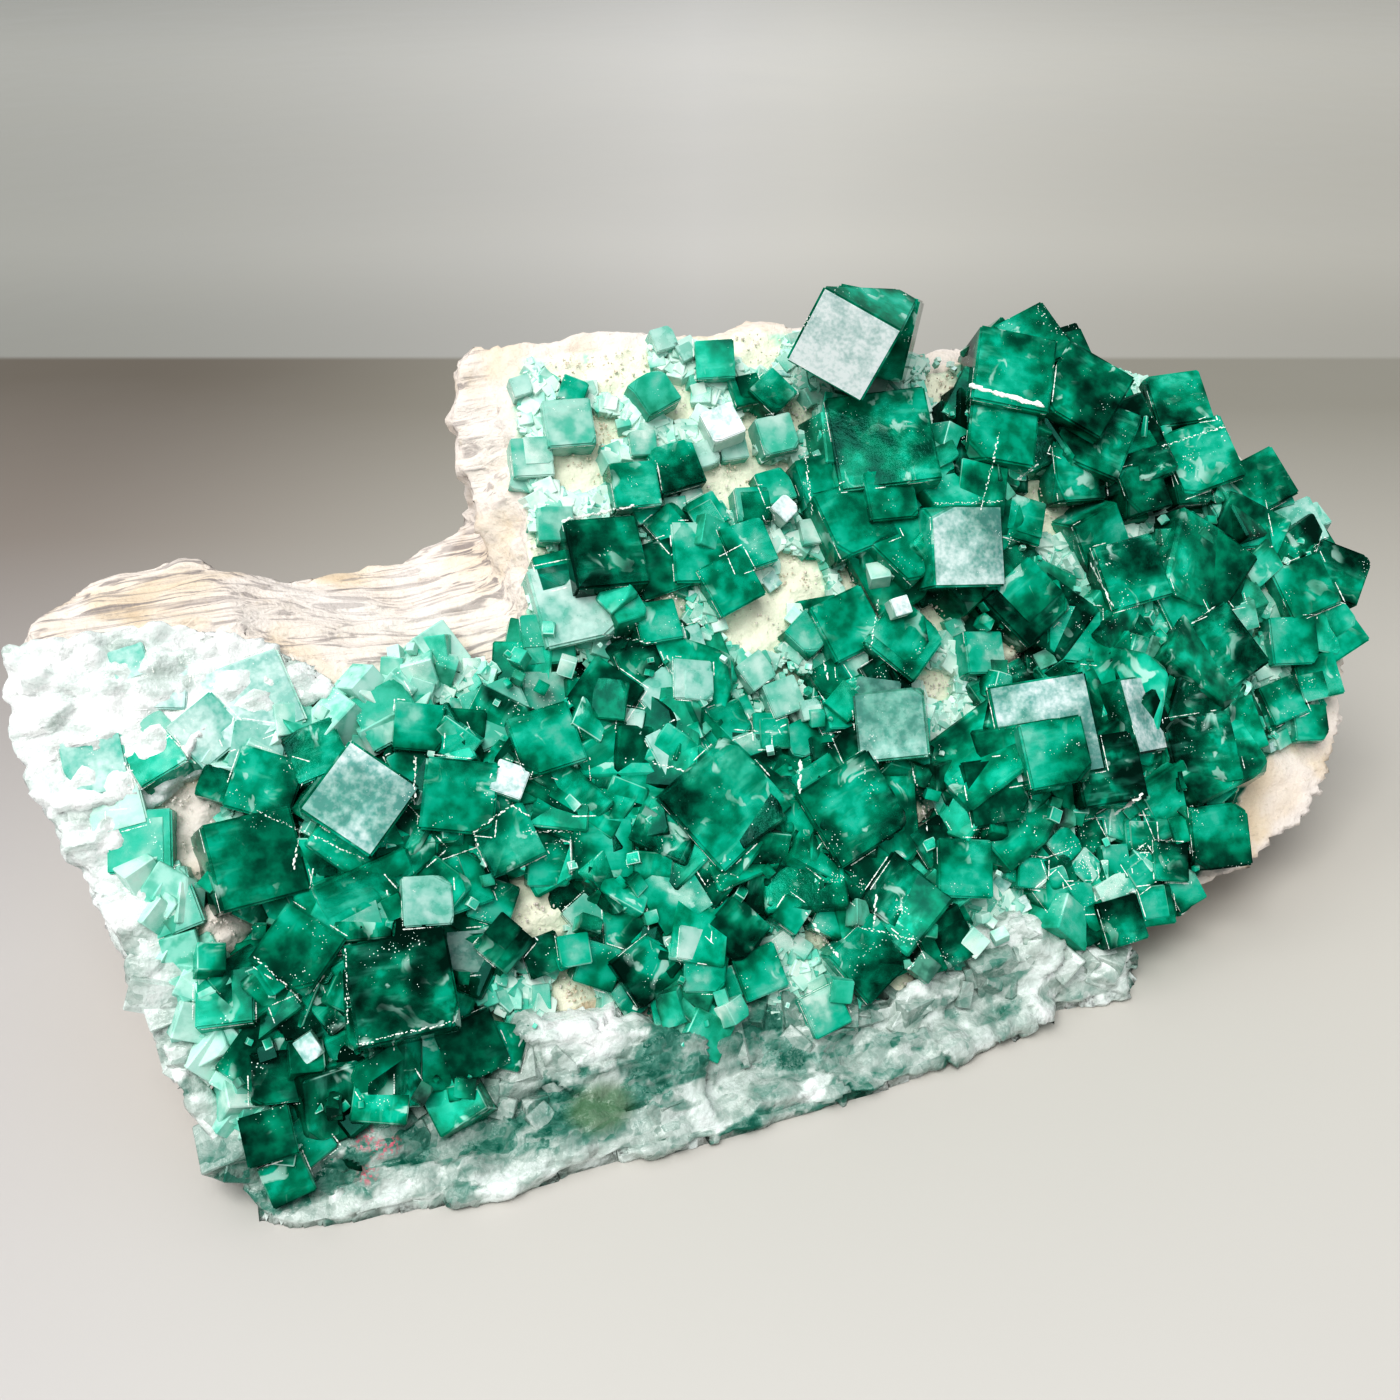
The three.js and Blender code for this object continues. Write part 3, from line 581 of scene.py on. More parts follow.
colour = ramp(tree, level, [
    (0.02, (0.008, 0.13, 0.09)),
    (0.18, (0.08, 0.25, 0.195)),
    (0.36, (0.31, 0.42, 0.375)),
    (0.54, (0.52, 0.60, 0.555)),
    (0.74, (0.75, 0.82, 0.785)),
    (0.95, (0.88, 0.90, 0.88)),
])
OLIVE = (0.14, 0.24, 0.13, 1)
ROSE_RED = (0.80, 0.16, 0.24, 1)
colour = mixed(tree, attribute(tree, "olive", "Fac"), colour, OLIVE)
rose = fade(tree, grain(tree, place, 1.2, 2), 0.46, 0.62, 0.0, 0.8)
rose = maths(tree, "MULTIPLY", attribute(tree, "stain", "Fac"), rose)
colour = mixed(tree, rose, colour, ROSE_RED)
plug(tree, shader, "Base Color", colour)
plug(tree, shader, "Roughness", fade(tree, veined, 0.35, 0.65, 0.08, 0.36))
tilt = vectors(tree, "SCALE", vectors(tree, "SUBTRACT", shards, (0.5, 0.5, 0.5)), scale=0.5)
flat = add_node(tree, "ShaderNodeNewGeometry").outputs["Normal"]
flat = vectors(tree, "NORMALIZE", vectors(tree, "ADD", flat, tilt))
inputs = {"Strength": 0.5, "Distance": 0.0006, "Height": grain(tree, place, 1.1, 3), "Normal": flat}
bump = add_node(tree, "ShaderNodeBump", inputs)
plug(tree, shader, "Normal", bump.outputs[0])
plug(tree, shader, "IOR", FLUORITE_IOR)
plug(tree, shader, "Transmission Weight", 0.12)
print("massive_fluorite nodes:", len(tree.nodes))

# %% [markdown]
# On the real piece no two crystals look alike, yet they fall into a few kinds: nearly black ones,
# deep and bright greens, mint and icy ones, frosted ones, and a few with a silvery face. A word for
# each kind keeps the rows below short. It stands for a tone from 0, nearly black, to 1, pale mint,
# a share of painted sheen on the front face, which stands in for a reflection of the light, and a
# share of frosting. Every word with a sheen above 0 paints some of that reflection.

# %% Words for the looks of a crystal
LOOK_WORDS = {
    "black": (0.15, 0.00, 0.00),
    "dark": (0.28, 0.00, 0.00),
    "deep": (0.38, 0.00, 0.00),
    "mid": (0.485, 0.00, 0.00),
    "cored": (0.42, 0.00, 0.00),
    "bright": (0.58, 0.00, 0.00),
    "light": (0.74, 0.00, 0.10),
    "mint": (0.82, 0.00, 0.30),
    "pale": (0.92, 0.10, 0.55),
    "ice": (1.00, 0.80, 0.15),
    "haze": (0.76, 0.50, 0.35),
    "sheen": (0.38, 1.00, 0.00),
    "silver": (0.38, 0.80, 0.00),
    "crown": (0.44, 1.50, 0.00),
    # half painted sheen, a reflection painted on the front face, and some real frosting
    "coat": (0.34, 0.50, 0.20),
    "frost": (0.72, 0.25, 0.50),
    "rough": (0.90, 0.25, 0.90),
    # glint: a painted highlight, a bright painted sheen on a small front face
    "glint": (0.95, 1.60, 0.20),
}
print("kinds of crystals:", len(LOOK_WORDS))

# %% [markdown]
# The big crystals were placed one by one, since a random heap would never look like this piece. A
# row says how far along and up the face the middle of the front face is seen, the length of its
# edge, how it is turned, leaned to the right and tipped up in degrees, how far it stands out, and
# the word for its looks. The left bank comes first, from the corner on the table to the arm.

# %% Big crystals of the left bank
LEFT_BANK = [
    (8.5, 69.5, 17.5, 4, 14, 0, 9, "deep"), (31.7, 38.2, 20, -1, 2, 8, 14, "black"),
    (13, 50, 13.5, 45, 0, 0, 9, "mid"), (-2, 44, 11, -8, -5, 18, 6, "mid"),
    (1.5, 16, 9.5, 3, 0, 5, 8, "dark"), (5, 26.5, 10, -8, 0, 0, 6, "dark"),
    (3.5, 7, 8.5, 12, 0, -12, 5, "dark"), (8, 13, 9, 25, 10, 0, 4, "dark"),
    (25, 21, 11, 20, 0, -10, 6, "deep"), (33, 22, 11, -10, 0, -8, 6, "deep"),
    (43, 23, 12, 12, 0, -5, 7, "deep"), (49, 22, 9, -25, 0, 0, 5, "deep"),
    (12, 36, 10, 10, 5, -10, 5, "black"), (15, 28, 9, -12, 0, 0, 3, "dark"),
    (12.5, 84, 13, -28, 0, 0, 6, "mid"), (23.5, 89, 11, 12, 0, 5, 6, "deep"),
    (30.5, 77.5, 17, 44, 0, 0, 12, "sheen"), (39, 94, 12, 18, -5, 0, 5, "light"),
    (45, 90, 10, -15, 5, 0, 7, "deep"), (3.2, 86, 6.5, -30, 0, 0, 5, "mid"),
    (-7.5, 94.0, 10, 20, -10, 16, 4.0, "bright"), (-12.5, 77.5, 12, -8, -5, 0, 2.8, "light"),
    (-18.5, 94, 12, 2, -8, 0, 2.8, "haze"), (-16, 85.5, 10.5, 4, -6, 0, 2.8, "mint"),
    (-10, 64, 12, 10, -10, 0, 3.0, "mint"), (14, 61, 12, 15, 0, 0, 5, "deep"),
    (24, 62, 11, -20, 0, 0, 6, "deep"), (26, 54, 12, 5, 0, 0, 6, "light"),
    (37, 66, 12, 30, 0, 0, 7, "dark"), (40, 54, 10, -8, 8, 0, 9, "frost"), (47, 56, 11, 8, 0, 0, 6, "mid"),
    (50.5, 74, 15, -17, 0, 0, 9, "deep"), (58.5, 63, 12, 14, 0, 0, 8, "mid"),
    (53, 51, 9, -30, 0, 0, 4, "mid"), (53.5, 42, 9, 38, 0, 0, 6, "black"), (46, 42, 9, -8, 0, 0, 3, "coat"),
    (42, 82, 8, 15, 0, 0, 5, "dark"),
]
print("left bank:", len(LEFT_BANK))

# %% [markdown]
# The middle bank is the fullest part: cubes of 8 to 20 mm in every turn, with frosted ones along
# the top of the bank and dark ones in the hollows.

# %% Big crystals of the middle bank
MIDDLE_BANK = [
    (67.5, 37.5, 6.5, -3, 0, 0, 8, "bright"), (61, 38, 8, 8, 0, 0, 5, "dark"),
    (72, 44, 8, 30, 0, 0, 4, "light"), (78, 57, 13, -10, 0, 0, 7, "mid"),
    (66, 56, 9, -12, 0, -5, 5, "dark"), (70.5, 67, 11, -30, 0, 0, 6, "dark"),
    (87, 72, 16, -6, 0, 0, 6, "mid"), (71, 82.5, 13.5, 7, 0, 5, 9, "deep"),
    (85.5, 89.5, 13, 44, 0, 0, 7, "deep"), (61.5, 75.5, 7, -32, 0, 10, 9, "sheen"),
    (62, 90, 13, 12, -5, 0, 4, "mint"), (73, 92, 10, -10, 0, 0, 3, "light"),
    (95, 95, 9.5, 10, 0, 0, 5, "deep"), (101, 104, 9.5, 0, 0, 8, 6, "mid"),
    (84, 111.5, 18, 3, 0, 0, 6, "frost"), (76, 104, 11, -5, 0, 0, 3, "light"),
    (80.5, 119, 8, 5, 0, 0, 6, "bright"), (93, 121.5, 16.5, -2, 4, 8, 9, "dark"),
    (99, 75, 11, 15, 0, 0, 7, "rough"), (106, 89.5, 9, -12, 10, 0, 7, "frost"),
    (98, 87.6, 9, 28, 0, 0, 6, "frost"), (106, 97, 9, 5, 0, 0, 4, "frost"),
    (90, 83, 5.5, -22, 0, 0, 7, "pale"), (107, 61.5, 21.5, 30, 0, 0, 9, "mid"),
    (136, 54, 19, 20, -5, -5, 11, "cored"), (149.5, 71, 15.5, -8, -26, 0, 12, "coat"),
    (132, 43, 14, 40, 0, 0, 7, "dark"), (142, 33, 14, 40, 0, 0, 7, "dark"),
    (131.5, 21, 14, 30, 0, -5, 7, "mid"), (118.5, 12.5, 9, 12, 0, 0, 6, "bright"),
    (116, 34.5, 6.5, 42, 0, 0, 7, "bright"), (126, 31.5, 9, -38, 0, 0, 5, "mid"),
    (112, 46, 12, 15, 0, -5, 5, "black"), (91, 44, 13, 20, 0, 0, 6, "mid"),
    (79, 39, 9, -8, 0, -5, 5, "deep"), (93, 33, 7, -20, 15, 0, 7, "pale"),
    (82, 30, 12, 24, 8, -10, 6, "dark"), (72, 33, 9, -30, 0, -12, 5, "mid"),
    (94, 27, 9, -14, 0, 0, 6, "mid"),
    (103, 34, 11, 35, 0, 0, 6, "deep"), (106, 24, 10, 8, 0, 0, 5, "mid"), (153, 43, 9, 20, 0, 0, 6, "dark"),
    (159, 50, 7, 10, 0, 0, 4, "light"), (158.5, 90, 14.5, 40, 0, 0, 9, "mid"),
    (145.5, 96, 14, 15, 0, 0, 7, "mid"), (135.5, 95.5, 8.5, 35, 0, 0, 5, "bright"),
    (152, 82, 10, 20, 0, -5, 7, "dark"), (133.5, 67.5, 8, -5, 0, 0, 6, "dark"),
    (141.5, 67, 11, 12, 0, -5, 7, "dark"), (121, 89, 7, 25, 0, 0, 5, "mint"),
    (126, 82, 8, 10, 0, 0, 5, "mint"), (121, 75, 8, -10, 0, 0, 4, "mid"), (128, 72, 8, 15, 0, 0, 4, "mid"),
    (131.5, 78, 4.5, 0, 0, 0, 6, "pale"), (138, 84, 8, 20, 0, 0, 5, "mid"),
    (144, 87, 8, -10, 0, 0, 5, "mid"), (112, 79, 8, 10, 0, 0, 4, "mid"), (115, 71, 9, -15, 0, 0, 4, "mid"),
]
print("middle bank:", len(MIDDLE_BANK))

# %% [markdown]
# The right bank has some of the largest cubes. Most of them lean a little to the left, so their
# fronts look towards the eye, and below them rows of small cubes run along the edge.

# %% Big crystals of the right bank
RIGHT_BANK = [
    (180.3, 109.5, 18.7, -7.5, 4, -10, 14, "silver"), (165.5, 112, 14, 35, 0, 0, 10, "bright"),
    (154, 121, 16, 12, 0, 0, 10, "mid"), (164, 125, 12, -3, 0, 0, 12, "deep"),
    (165.5, 139, 23.5, -6, -12, 6, 12, "cored"), (148, 131, 11, 5, 0, 0, 7, "mid"),
    (196, 114, 11, -25, 0, 0, 8, "deep"), (192, 93.5, 15.5, 30, -10, 0, 10, "dark"),
    (202, 84, 14, -15, 0, 0, 8, "mid"), (177.5, 83.5, 10, -8, 5, 0, 6, "bright"),
    (188, 63, 23, -3, -12, 0, 11, "sheen"), (189, 57, 15, -2, -8, 0, 15, "deep"),
    (171.5, 51, 15, -4, 0, 0, 9, "deep"), (201.5, 50.5, 16, -3, -5, 0, 12, "black"),
    (216.5, 61.5, 18, 0, 25, 0, 10, "sheen"), (228, 50, 17, -3, -5, 0, 11, "dark"),
    (240, 73, 18, 22, -10, 0, 9, "deep"), (159, 35.5, 13, -14, 0, 0, 9, "mid"),
    (150, 21, 12, 15, 0, -8, 7, "dark"), (194.5, 15.5, 10.5, 2, 0, 0, 8, "dark"),
    (226, 29, 15, -5, -5, -8, 9, "dark"), (222, 96.5, 16, 4, -8, 0, 10, "deep"),
    (216.5, 106, 13, 20, 0, -25, 7, "mid"), (232, 117, 12, 5, 0, 0, 8, "deep"),
    (245.5, 116, 10, -4, 0, 0, 7, "black"), (251, 123, 17, 8, -12, 0, 9, "deep"),
    (249, 139, 14.5, -5, -10, 10, 8, "mid"), (266, 114, 14, 15, -15, 0, 6, "deep"),
    (257, 104, 13, -5, -10, 0, 7, "mid"), (273, 101, 12, 10, -15, 0, 5, "frost"),
    (281, 87, 13.5, -35, -15, 0, 8, "dark"), (270, 85, 14, 10, -10, 0, 7, "mid"),
    (262, 72, 12, -10, -10, 0, 6, "mid"), (275, 72, 12, 20, -15, 0, 6, "mid"),
    (266, 62, 11, 0, -10, 0, 5, "mid"), (254, 58, 10, 10, -5, 0, 5, "mid"),
    (260, 51, 9, -10, -5, 0, 4, "mid"), (243, 90, 14, 0, -8, 0, 7, "dark"),
    (233, 87, 11, 12, 0, 0, 8, "dark"),
]
LOWER_RIGHT_ROWS = [
    (172, 37, 7, 12, 0, 0, 5, "mid"), (179, 37.5, 7.5, -20, 0, 0, 5, "deep"),
    (185, 35.5, 7, 28, 0, 0, 6, "bright"), (192, 36, 7.5, -5, 0, 0, 5, "deep"),
    (199, 38, 7, 15, 0, 0, 5, "mid"), (205, 34, 8, -12, 0, 0, 6, "deep"),
    (212, 35.5, 8, 8, 0, 0, 6, "deep"), (175, 31, 7, -18, 0, 0, 6, "bright"),
    (182, 30, 7, 5, 0, 0, 6, "mid"), (189, 29.5, 6.5, 35, 0, 0, 6, "deep"),
    (196, 29, 8, -8, 0, 0, 6, "bright"), (203, 26, 8, 20, 0, 0, 6, "mid"),
    (211, 26, 9, -15, 0, 0, 7, "deep"), (179, 25, 7.5, 25, 0, 0, 6, "mid"),
    (185, 23, 7, -10, 0, 0, 6, "bright"), (187, 16.5, 8, 12, 0, 0, 6, "deep"),
    (204, 17, 9, -6, 0, 0, 6, "mid"), (213, 19, 8, 14, 0, 0, 5, "bright"),
]
print("right bank:", len(RIGHT_BANK) + len(LOWER_RIGHT_ROWS))

# %% [markdown]
# The summit is a cluster of dark cubes grown into each other, and the crown cube beside it is
# tipped far over, so its silvery front face, a painted reflection, looks at the eye. The upper plate
# and the left strip carry low, pale crystals that hardly rise from what they grow on.

# %% Big crystals of the summit, the crown, the plate and the left strip
SUMMIT = [
    (197.5, 137, 16.5, -22, -8, 4, 11, "deep"), (205, 152, 19, -22, -8, 0, 14, "dark"),
    (223, 144.5, 18, -44, -12, 0, 16, "dark"), (213, 159.5, 15, 18, -5, 5, 12, "dark"),
    (222, 157, 9, 10, 0, 0, 9, "dark"), (222.5, 132.5, 17.5, -36, -14, 0, 12, "dark"),
    (215, 123, 13, -5, 0, -8, 9, "deep"),
]
CROWN = [
    (161.1, 163.1, 19.7, -21.9, -36.3, -47.6, 22, "crown"), (169, 165.5, 19, -18, -30, -22, 14, "dark"),
]
PLATE_CRYSTALS = [
    (103, 136, 10.5, -3, 0, 0, 7, "mid"), (113.5, 139, 11, 8, 0, 0, 5, "mid"),
    (107, 145.5, 6, -5, 0, 0, 4, "light"), (104, 116, 12, 10, 0, -5, 4, "dark"),
    (115, 118, 14, -8, 0, 0, 5, "mid"), (120, 110, 12, 18, 0, -5, 6, "deep"),
    (126, 118, 11, 10, 0, 0, 6, "deep"), (109, 125, 9, 30, 0, 0, 4, "mid"),
    (118, 127, 8, 20, 0, 0, 4, "bright"), (83, 129.5, 8, -8, 0, 0, 4, "light"),
    (91, 152.5, 11, -3, 0, 0, 5, "mint"), (93.5, 160, 6, -30, 0, 0, 4, "mid"),
    (112.5, 157.5, 9, 22, 0, 0, 6, "light"), (81, 145.5, 9, -5, 0, 0, 3, "mint"),
    (128.5, 163.5, 9, -8, -15, -5, 6, "bright"), (134.5, 155, 7, 5, 0, 0, 4, "mid"),
    (141, 154, 8.5, 35, 0, 0, 6, "mid"), (126.8, 148, 8, 12, -8, 6, 8, "glint"),
    (128, 142, 6.5, 0, 0, 0, 3, "mint"), (139.5, 143.5, 9, 5, 0, 0, 5, "mint"),
    (121, 141, 6, 10, 0, 0, 3, "pale"), (117.5, 170, 5.5, 10, 0, 0, 3, "pale"),
    (122.5, 167, 5, 20, 0, 0, 3, "pale"), (82, 162.5, 4.5, 10, 0, 0, 3, "pale"),
    (136, 131, 8, 8, 0, 0, 5, "mid"), (129.5, 127.5, 8, -5, 0, 0, 5, "bright"),
    (137, 125.5, 5, 35, 0, 0, 7, "glint"), (159.5, 98, 4.2, 6, 0, 0, 13, "glint"),
    (142.5, 119, 6, 0, 0, 0, 4, "mint"),
]
LEFT_STRIP = [
    (-9, 113.5, 7, 8, -6, 8, 3.2, "haze"), (-3.5, 107.5, 9.5, -12, 0, 8, 3.0, "ice"),
    (3.5, 97, 11.5, 32, 4, 0, 4.0, "haze"), (12.5, 91.5, 10.5, -18, 6, 0, 4.2, "haze"),
    (13, 102, 17, 12, 0, 6, 3.2, "ice"), (-6, 99.5, 5.5, 30, 0, 0, 3.6, "mint"),
]
BIG_ROWS = LEFT_BANK + MIDDLE_BANK + RIGHT_BANK + LOWER_RIGHT_ROWS
BIG_ROWS = BIG_ROWS + SUMMIT + CROWN + PLATE_CRYSTALS + LEFT_STRIP
print("big crystals:", len(BIG_ROWS))

# %% [markdown]
# Between the big cubes everything is filled with smaller ones, down to a fine crust. They are
# spread at random, but the face isn't the same everywhere. A painted mask could steer them. Two
# short lists of round places do it here: where bare cream rock shows, and where growth is pale.

# %% Places that stay bare, and places that are pale
BARE = [
    (-5, 84, 8), (-3, 74, 6), (-1, 58, 5), (62, 48, 7), (65, 29, 4), (105, 108, 4), (124, 101, 8),
    (126, 136, 8), (137, 132, 5), (164, 78, 4), (204, 117, 8), (211, 112, 6), (219, 118, 5),
    (241, 114, 5), (262, 86, 4), (91, 142, 6), (106, 164, 7), (117, 155, 5), (152, 50, 3),
    (185, 83, 3), (139, 12, 4), (122, 28, 3), (137, 108, 6), (185, 150, 5), (150, 106, 4),
    (76, 125, 4), (10, 5, 4), (94, 166, 5), (140, 166, 6), (72, 160, 4), (146, 148, 4),
    (135, 146, 4), (176, 96, 3), (98, 150, 4), (85, 122, 3), (152, 98, 3), (168, 96, 4),
]
PALE = [
    (85, 150, 44, 1.0), (128, 160, 38, 1.0), (236, 145, 12, 0.9), (183, 152, 9, 0.9),
    (76, 122, 20, 0.9), (165, 80, 13, 1.0), (165, 67, 11, 1.0), (163, 92, 10, 0.9), (68, 24, 18, 0.9),
    (128, 106, 24, 0.95), (150, 100, 16, 0.9), (130, 134, 22, 0.95), (20, 100, 32, 1.0),
    (-12, 80, 18, 1.0), (-12, 40, 14, 0.95), (0, 10, 12, 0.7), (60, 22, 22, 0.7), (110, 16, 24, 0.6),
    (165, 20, 20, 0.8), (215, 108, 24, 0.8), (240, 114, 12, 0.8), (260, 60, 20, 0.75),
    (122, 82, 14, 0.7), (85, 102, 12, 0.6), (195, 30, 18, 0.35), (60, 70, 8, 0.5), (262, 84, 12, 0.6),
    (54, 102, 12, 0.8), (62, 48, 12, 0.6), (175, 150, 18, 0.8), (255, 138, 16, 0.5),
]


def paleness(along, up):
    most = 0.0
    for a, u, radius, amount in PALE:
        near = 1 - math.hypot(along - a, up - u) / radius
        most = max(most, amount * min(1.0, max(0.0, near * 2.2)))
    return most


def is_bare(along, up, margin=0.0):
    return any(math.hypot(along - a, up - u) < radius + margin for a, u, radius in BARE)


def bareness(along, up):
    """From 0 to 1 towards the middle of a bare place, for the mounds of rock that show there."""
    near = max(radius * 1.25 - math.hypot(along - a, up - u) for a, u, radius in BARE)
    return max(0.0, min(1.0, near / 4.0))


print("bare places:", len(BARE), "pale places:", len(PALE))

# %% [markdown]
# The crystals end at the edge of the face, and none grow on the massive fluorite. Two outlines on
# the face say where that is. Whether a place lies inside one is found by counting how often a line
# from it to the side crosses the outline: an odd count means inside.

# %% Outlines on the face
FACE_OUTLINE = [
    (-29, 100), (-22, 72), (-15, 52), (-9, 32), (-3, 15), (8, 9), (60, 8), (120, 8), (150, 10),
    (196, 12), (214, 18), (228, 30), (240, 42), (256, 50), (268, 58), (280, 74), (283, 90),
    (276, 103), (262, 125), (254, 138), (240, 146), (228, 152), (206, 159), (190, 156),
    (176, 160), (156, 168), (130, 169), (84, 169), (80, 160), (78, 140), (76, 122), (70, 104),
    (52, 102), (36, 106), (20, 112), (0, 120), (-24, 121),
]
MASSIVE_OUTLINE = [
    (-32, 124), (48, 116), (46, 98), (12, 90), (-6, 78), (-10, 62), (-4, 48), (-7, 36), (-1, 20),
    (4, 12), (48, 14), (51, 22), (70, 27), (86, 20), (93, 12), (120, 10), (160, 14), (196, 12),
    (200, 0), (-32, 0),
]


def within(outline, along, up):
    """Whether a place on the face lies within an outline."""
    hit = False
    previous = outline[-1]
    for corner in outline:
        if (corner[1] > up) != (previous[1] > up):
            share = (up - corner[1]) / (previous[1] - corner[1])
            if along < corner[0] + share * (previous[0] - corner[0]):
                hit = not hit
        previous = corner
    return hit


print("corners of the outlines:", len(FACE_OUTLINE), len(MASSIVE_OUTLINE))

# %% [markdown]
# Smaller cubes take the tone of the crystals around them, and in some places they are finer. One
# tone for all of them would make the bank look like gravel. Tones and sizes again come from short
# lists of round places.

# %% Tones and sizes from place to place
TONES_THERE = [
    (25, 25, 34, 0.22), (4, 20, 16, 0.18), (20, 65, 26, 0.40), (50, 60, 22, 0.42), (50, 85, 18, 0.42),
    (85, 45, 22, 0.36), (112, 46, 14, 0.24), (135, 40, 26, 0.34), (160, 30, 20, 0.32),
    (160, 60, 20, 0.32), (100, 75, 20, 0.42), (75, 75, 16, 0.34), (200, 60, 24, 0.22),
    (228, 70, 26, 0.26), (212, 145, 28, 0.24), (265, 105, 26, 0.24), (262, 65, 22, 0.38),
    (195, 28, 24, 0.42), (165, 118, 26, 0.40), (240, 125, 22, 0.28), (128, 76, 16, 0.50),
    (205, 90, 20, 0.30), (100, 122, 16, 0.30), (120, 114, 14, 0.40), (150, 92, 14, 0.46),
]
FINE = [(200, 29, 17), (182, 32, 12), (126, 76, 14), (106, 40, 8), (96, 96, 10)]


def tone_there(along, up):
    """The tone of the crystals that fill a place, from the list of places."""
    weight, total = 0.4, 0.4 * 0.42
    for a, u, radius, tone in TONES_THERE:
        near = max(0.0, 1.2 - math.hypot(along - a, up - u) / radius)
        weight += near
        total += near * tone
    return total / weight


def smaller_there(along, up):
    """How much smaller the filling cubes are where the picture shows fine ones."""
    return 0.5 if any(math.hypot(along - a, up - u) < radius for a, u, radius in FINE) else 1.0


print("places with a tone:", len(TONES_THERE), "and with finer cubes:", len(FINE))

# %% [markdown]
# The big crystals come first, and the small ones must not poke through their faces. Two questions
# about a place settle that: whether a big crystal's front face is already seen over it, and how much
# room is left under the big ones there. Both only look at the rows, so no mesh has to be searched.

# %% What lies over a place


def covered(along, up, margin):
    """Whether a big crystal's front face is seen over that place."""
    for row in BIG_ROWS:
        across, rise = along - row[0], up - row[1]
        if abs(across) + abs(rise) < 1.5 * row[2]:
            turn = math.radians(row[3])
            first = abs(across * math.cos(turn) + rise * math.sin(turn))
            second = abs(rise * math.cos(turn) - across * math.sin(turn))
            if max(first, second) < 0.5 * row[2] + margin:
                return True
    return False


def room_under(along, up, edge):
    """How far out a cube of that edge may stand and still lie behind the big crystals over it."""
    over = []
    for a, u, big_edge, *_, stand, _ in BIG_ROWS:
        if max(abs(along - a), abs(up - u)) < 0.46 * (big_edge + edge):
            over.append(stand)
    return min(over, default=20.0) - 0.8


print("room under the big crystals at one place, mm:", room_under(136, 54, 12))

# %% [markdown]
# A mesh can be built straight from lists of points and faces, which is far quicker than operators
# when there are thousands of small pieces. Numbers that belong to the points, such as a tone, are
# stored beside them as attributes, where the materials read them.

# %% A piece from points and faces


def carry(mesh, key, values):
    """Stores one number, or one vector, for each point of the mesh."""
    values = np.asarray(values, dtype=np.float32)
    kind, word = ("FLOAT", "value") if values.ndim == 1 else ("FLOAT_VECTOR", "vector")
    mesh.attributes.new(key, kind, "POINT").data.foreach_set(word, values.ravel())


def new_piece(name, points, faces, material):
    """An object from points in work measures. Its mesh has the same name."""
    mesh = bpy.data.meshes.new(name)
    mesh.from_pydata(metres(points).tolist(), [], faces)
    mesh.materials.append(material)
    piece = bpy.data.objects.new(name, mesh)
    bpy.context.collection.objects.link(piece)
    print(name, "triangles:", sum(len(face) - 2 for face in faces))
    return piece


# %% [markdown]
# Thousands of separate objects would make Blender slow, so the crystals of a kind share one mesh.
# This small class gathers their points and faces, and for each point the place inside its own
# cube, half the cube's edge, its seed and its looks.

# %% Gathering crystals into one mesh


class Gathering:
    def __init__(self):
        self.points = []
        self.faces = []
        self.values = {"place": [], "half": [], "seed": [], "looks": []}
        self.count = 0

    def add(self, points, faces, place, half, seed, looks):
        """One crystal: its points in work measures, its faces, and what it carries."""
        start = self.count
        self.points.append(np.asarray(points, dtype=float))
        self.faces.extend([tuple(start + corner for corner in face) for face in faces])
        total = len(points)
        self.values["place"].append(np.asarray(place, dtype=float))
        self.values["half"].append(np.full(total, half))
        self.values["seed"].append(np.full(total, seed))
        self.values["looks"].append(np.tile(looks, (total, 1)))
        self.count += total

    def as_object(self, name, material):
        piece = new_piece(name, np.concatenate(self.points), self.faces, material)
        for key, rows in self.values.items():
            carry(piece.data, key, np.concatenate(rows))
        piece.data.validate()
        return piece


# %% [markdown]
# Real cubes aren't perfect. Corners are broken off along flat planes and edges are a little blunt.
# A modifier could round the edges, but the breaks need real cuts. So each cube is cut with bmesh:
# bisect takes off a corner and fills the cut, and bevel blunts what is left.

# %% Cutting a cube


def turned(row):
    """The crystal's own axes as a matrix: the face's axes, tipped, leaned and turned."""
    turn, lean, tip = (math.radians(angle) for angle in row[3:6])
    own = Matrix.Rotation(-tip, 3, "X") @ Matrix.Rotation(lean, 3, "Y")
    return FACE_BASIS @ (own @ Matrix.Rotation(turn, 3, "Z"))


def points_and_faces(shape):
    """What a bmesh holds as plain lists, and the bmesh is freed."""
    points = [vertex.co.copy() for vertex in shape.verts]
    shape.verts.index_update()
    faces = [[vertex.index for vertex in face.verts] for face in shape.faces]
    shape.free()
    return points, faces


def cut_cube(edge, chips, blunt, steps=1):
    """A cube of that edge about its middle, with corners cut by planes and all edges bevelled."""
    shape = bmesh.new()
    bmesh.ops.create_cube(shape, size=edge)
    for point, normal in chips:
        everything = shape.verts[:] + shape.edges[:] + shape.faces[:]
        plane = {"plane_co": point, "plane_no": normal, "clear_outer": True}
        made = bmesh.ops.bisect_plane(shape, geom=everything, **plane)
        rim = [item for item in made["geom_cut"] if isinstance(item, bmesh.types.BMEdge)]
        bmesh.ops.edgenet_fill(shape, edges=rim)
    bmesh.ops.recalc_face_normals(shape, faces=shape.faces)
    edges = {"geom": shape.edges[:], "affect": "EDGES", "clamp_overlap": True}
    bmesh.ops.bevel(shape, offset=blunt, segments=steps, **edges)
    return points_and_faces(shape)


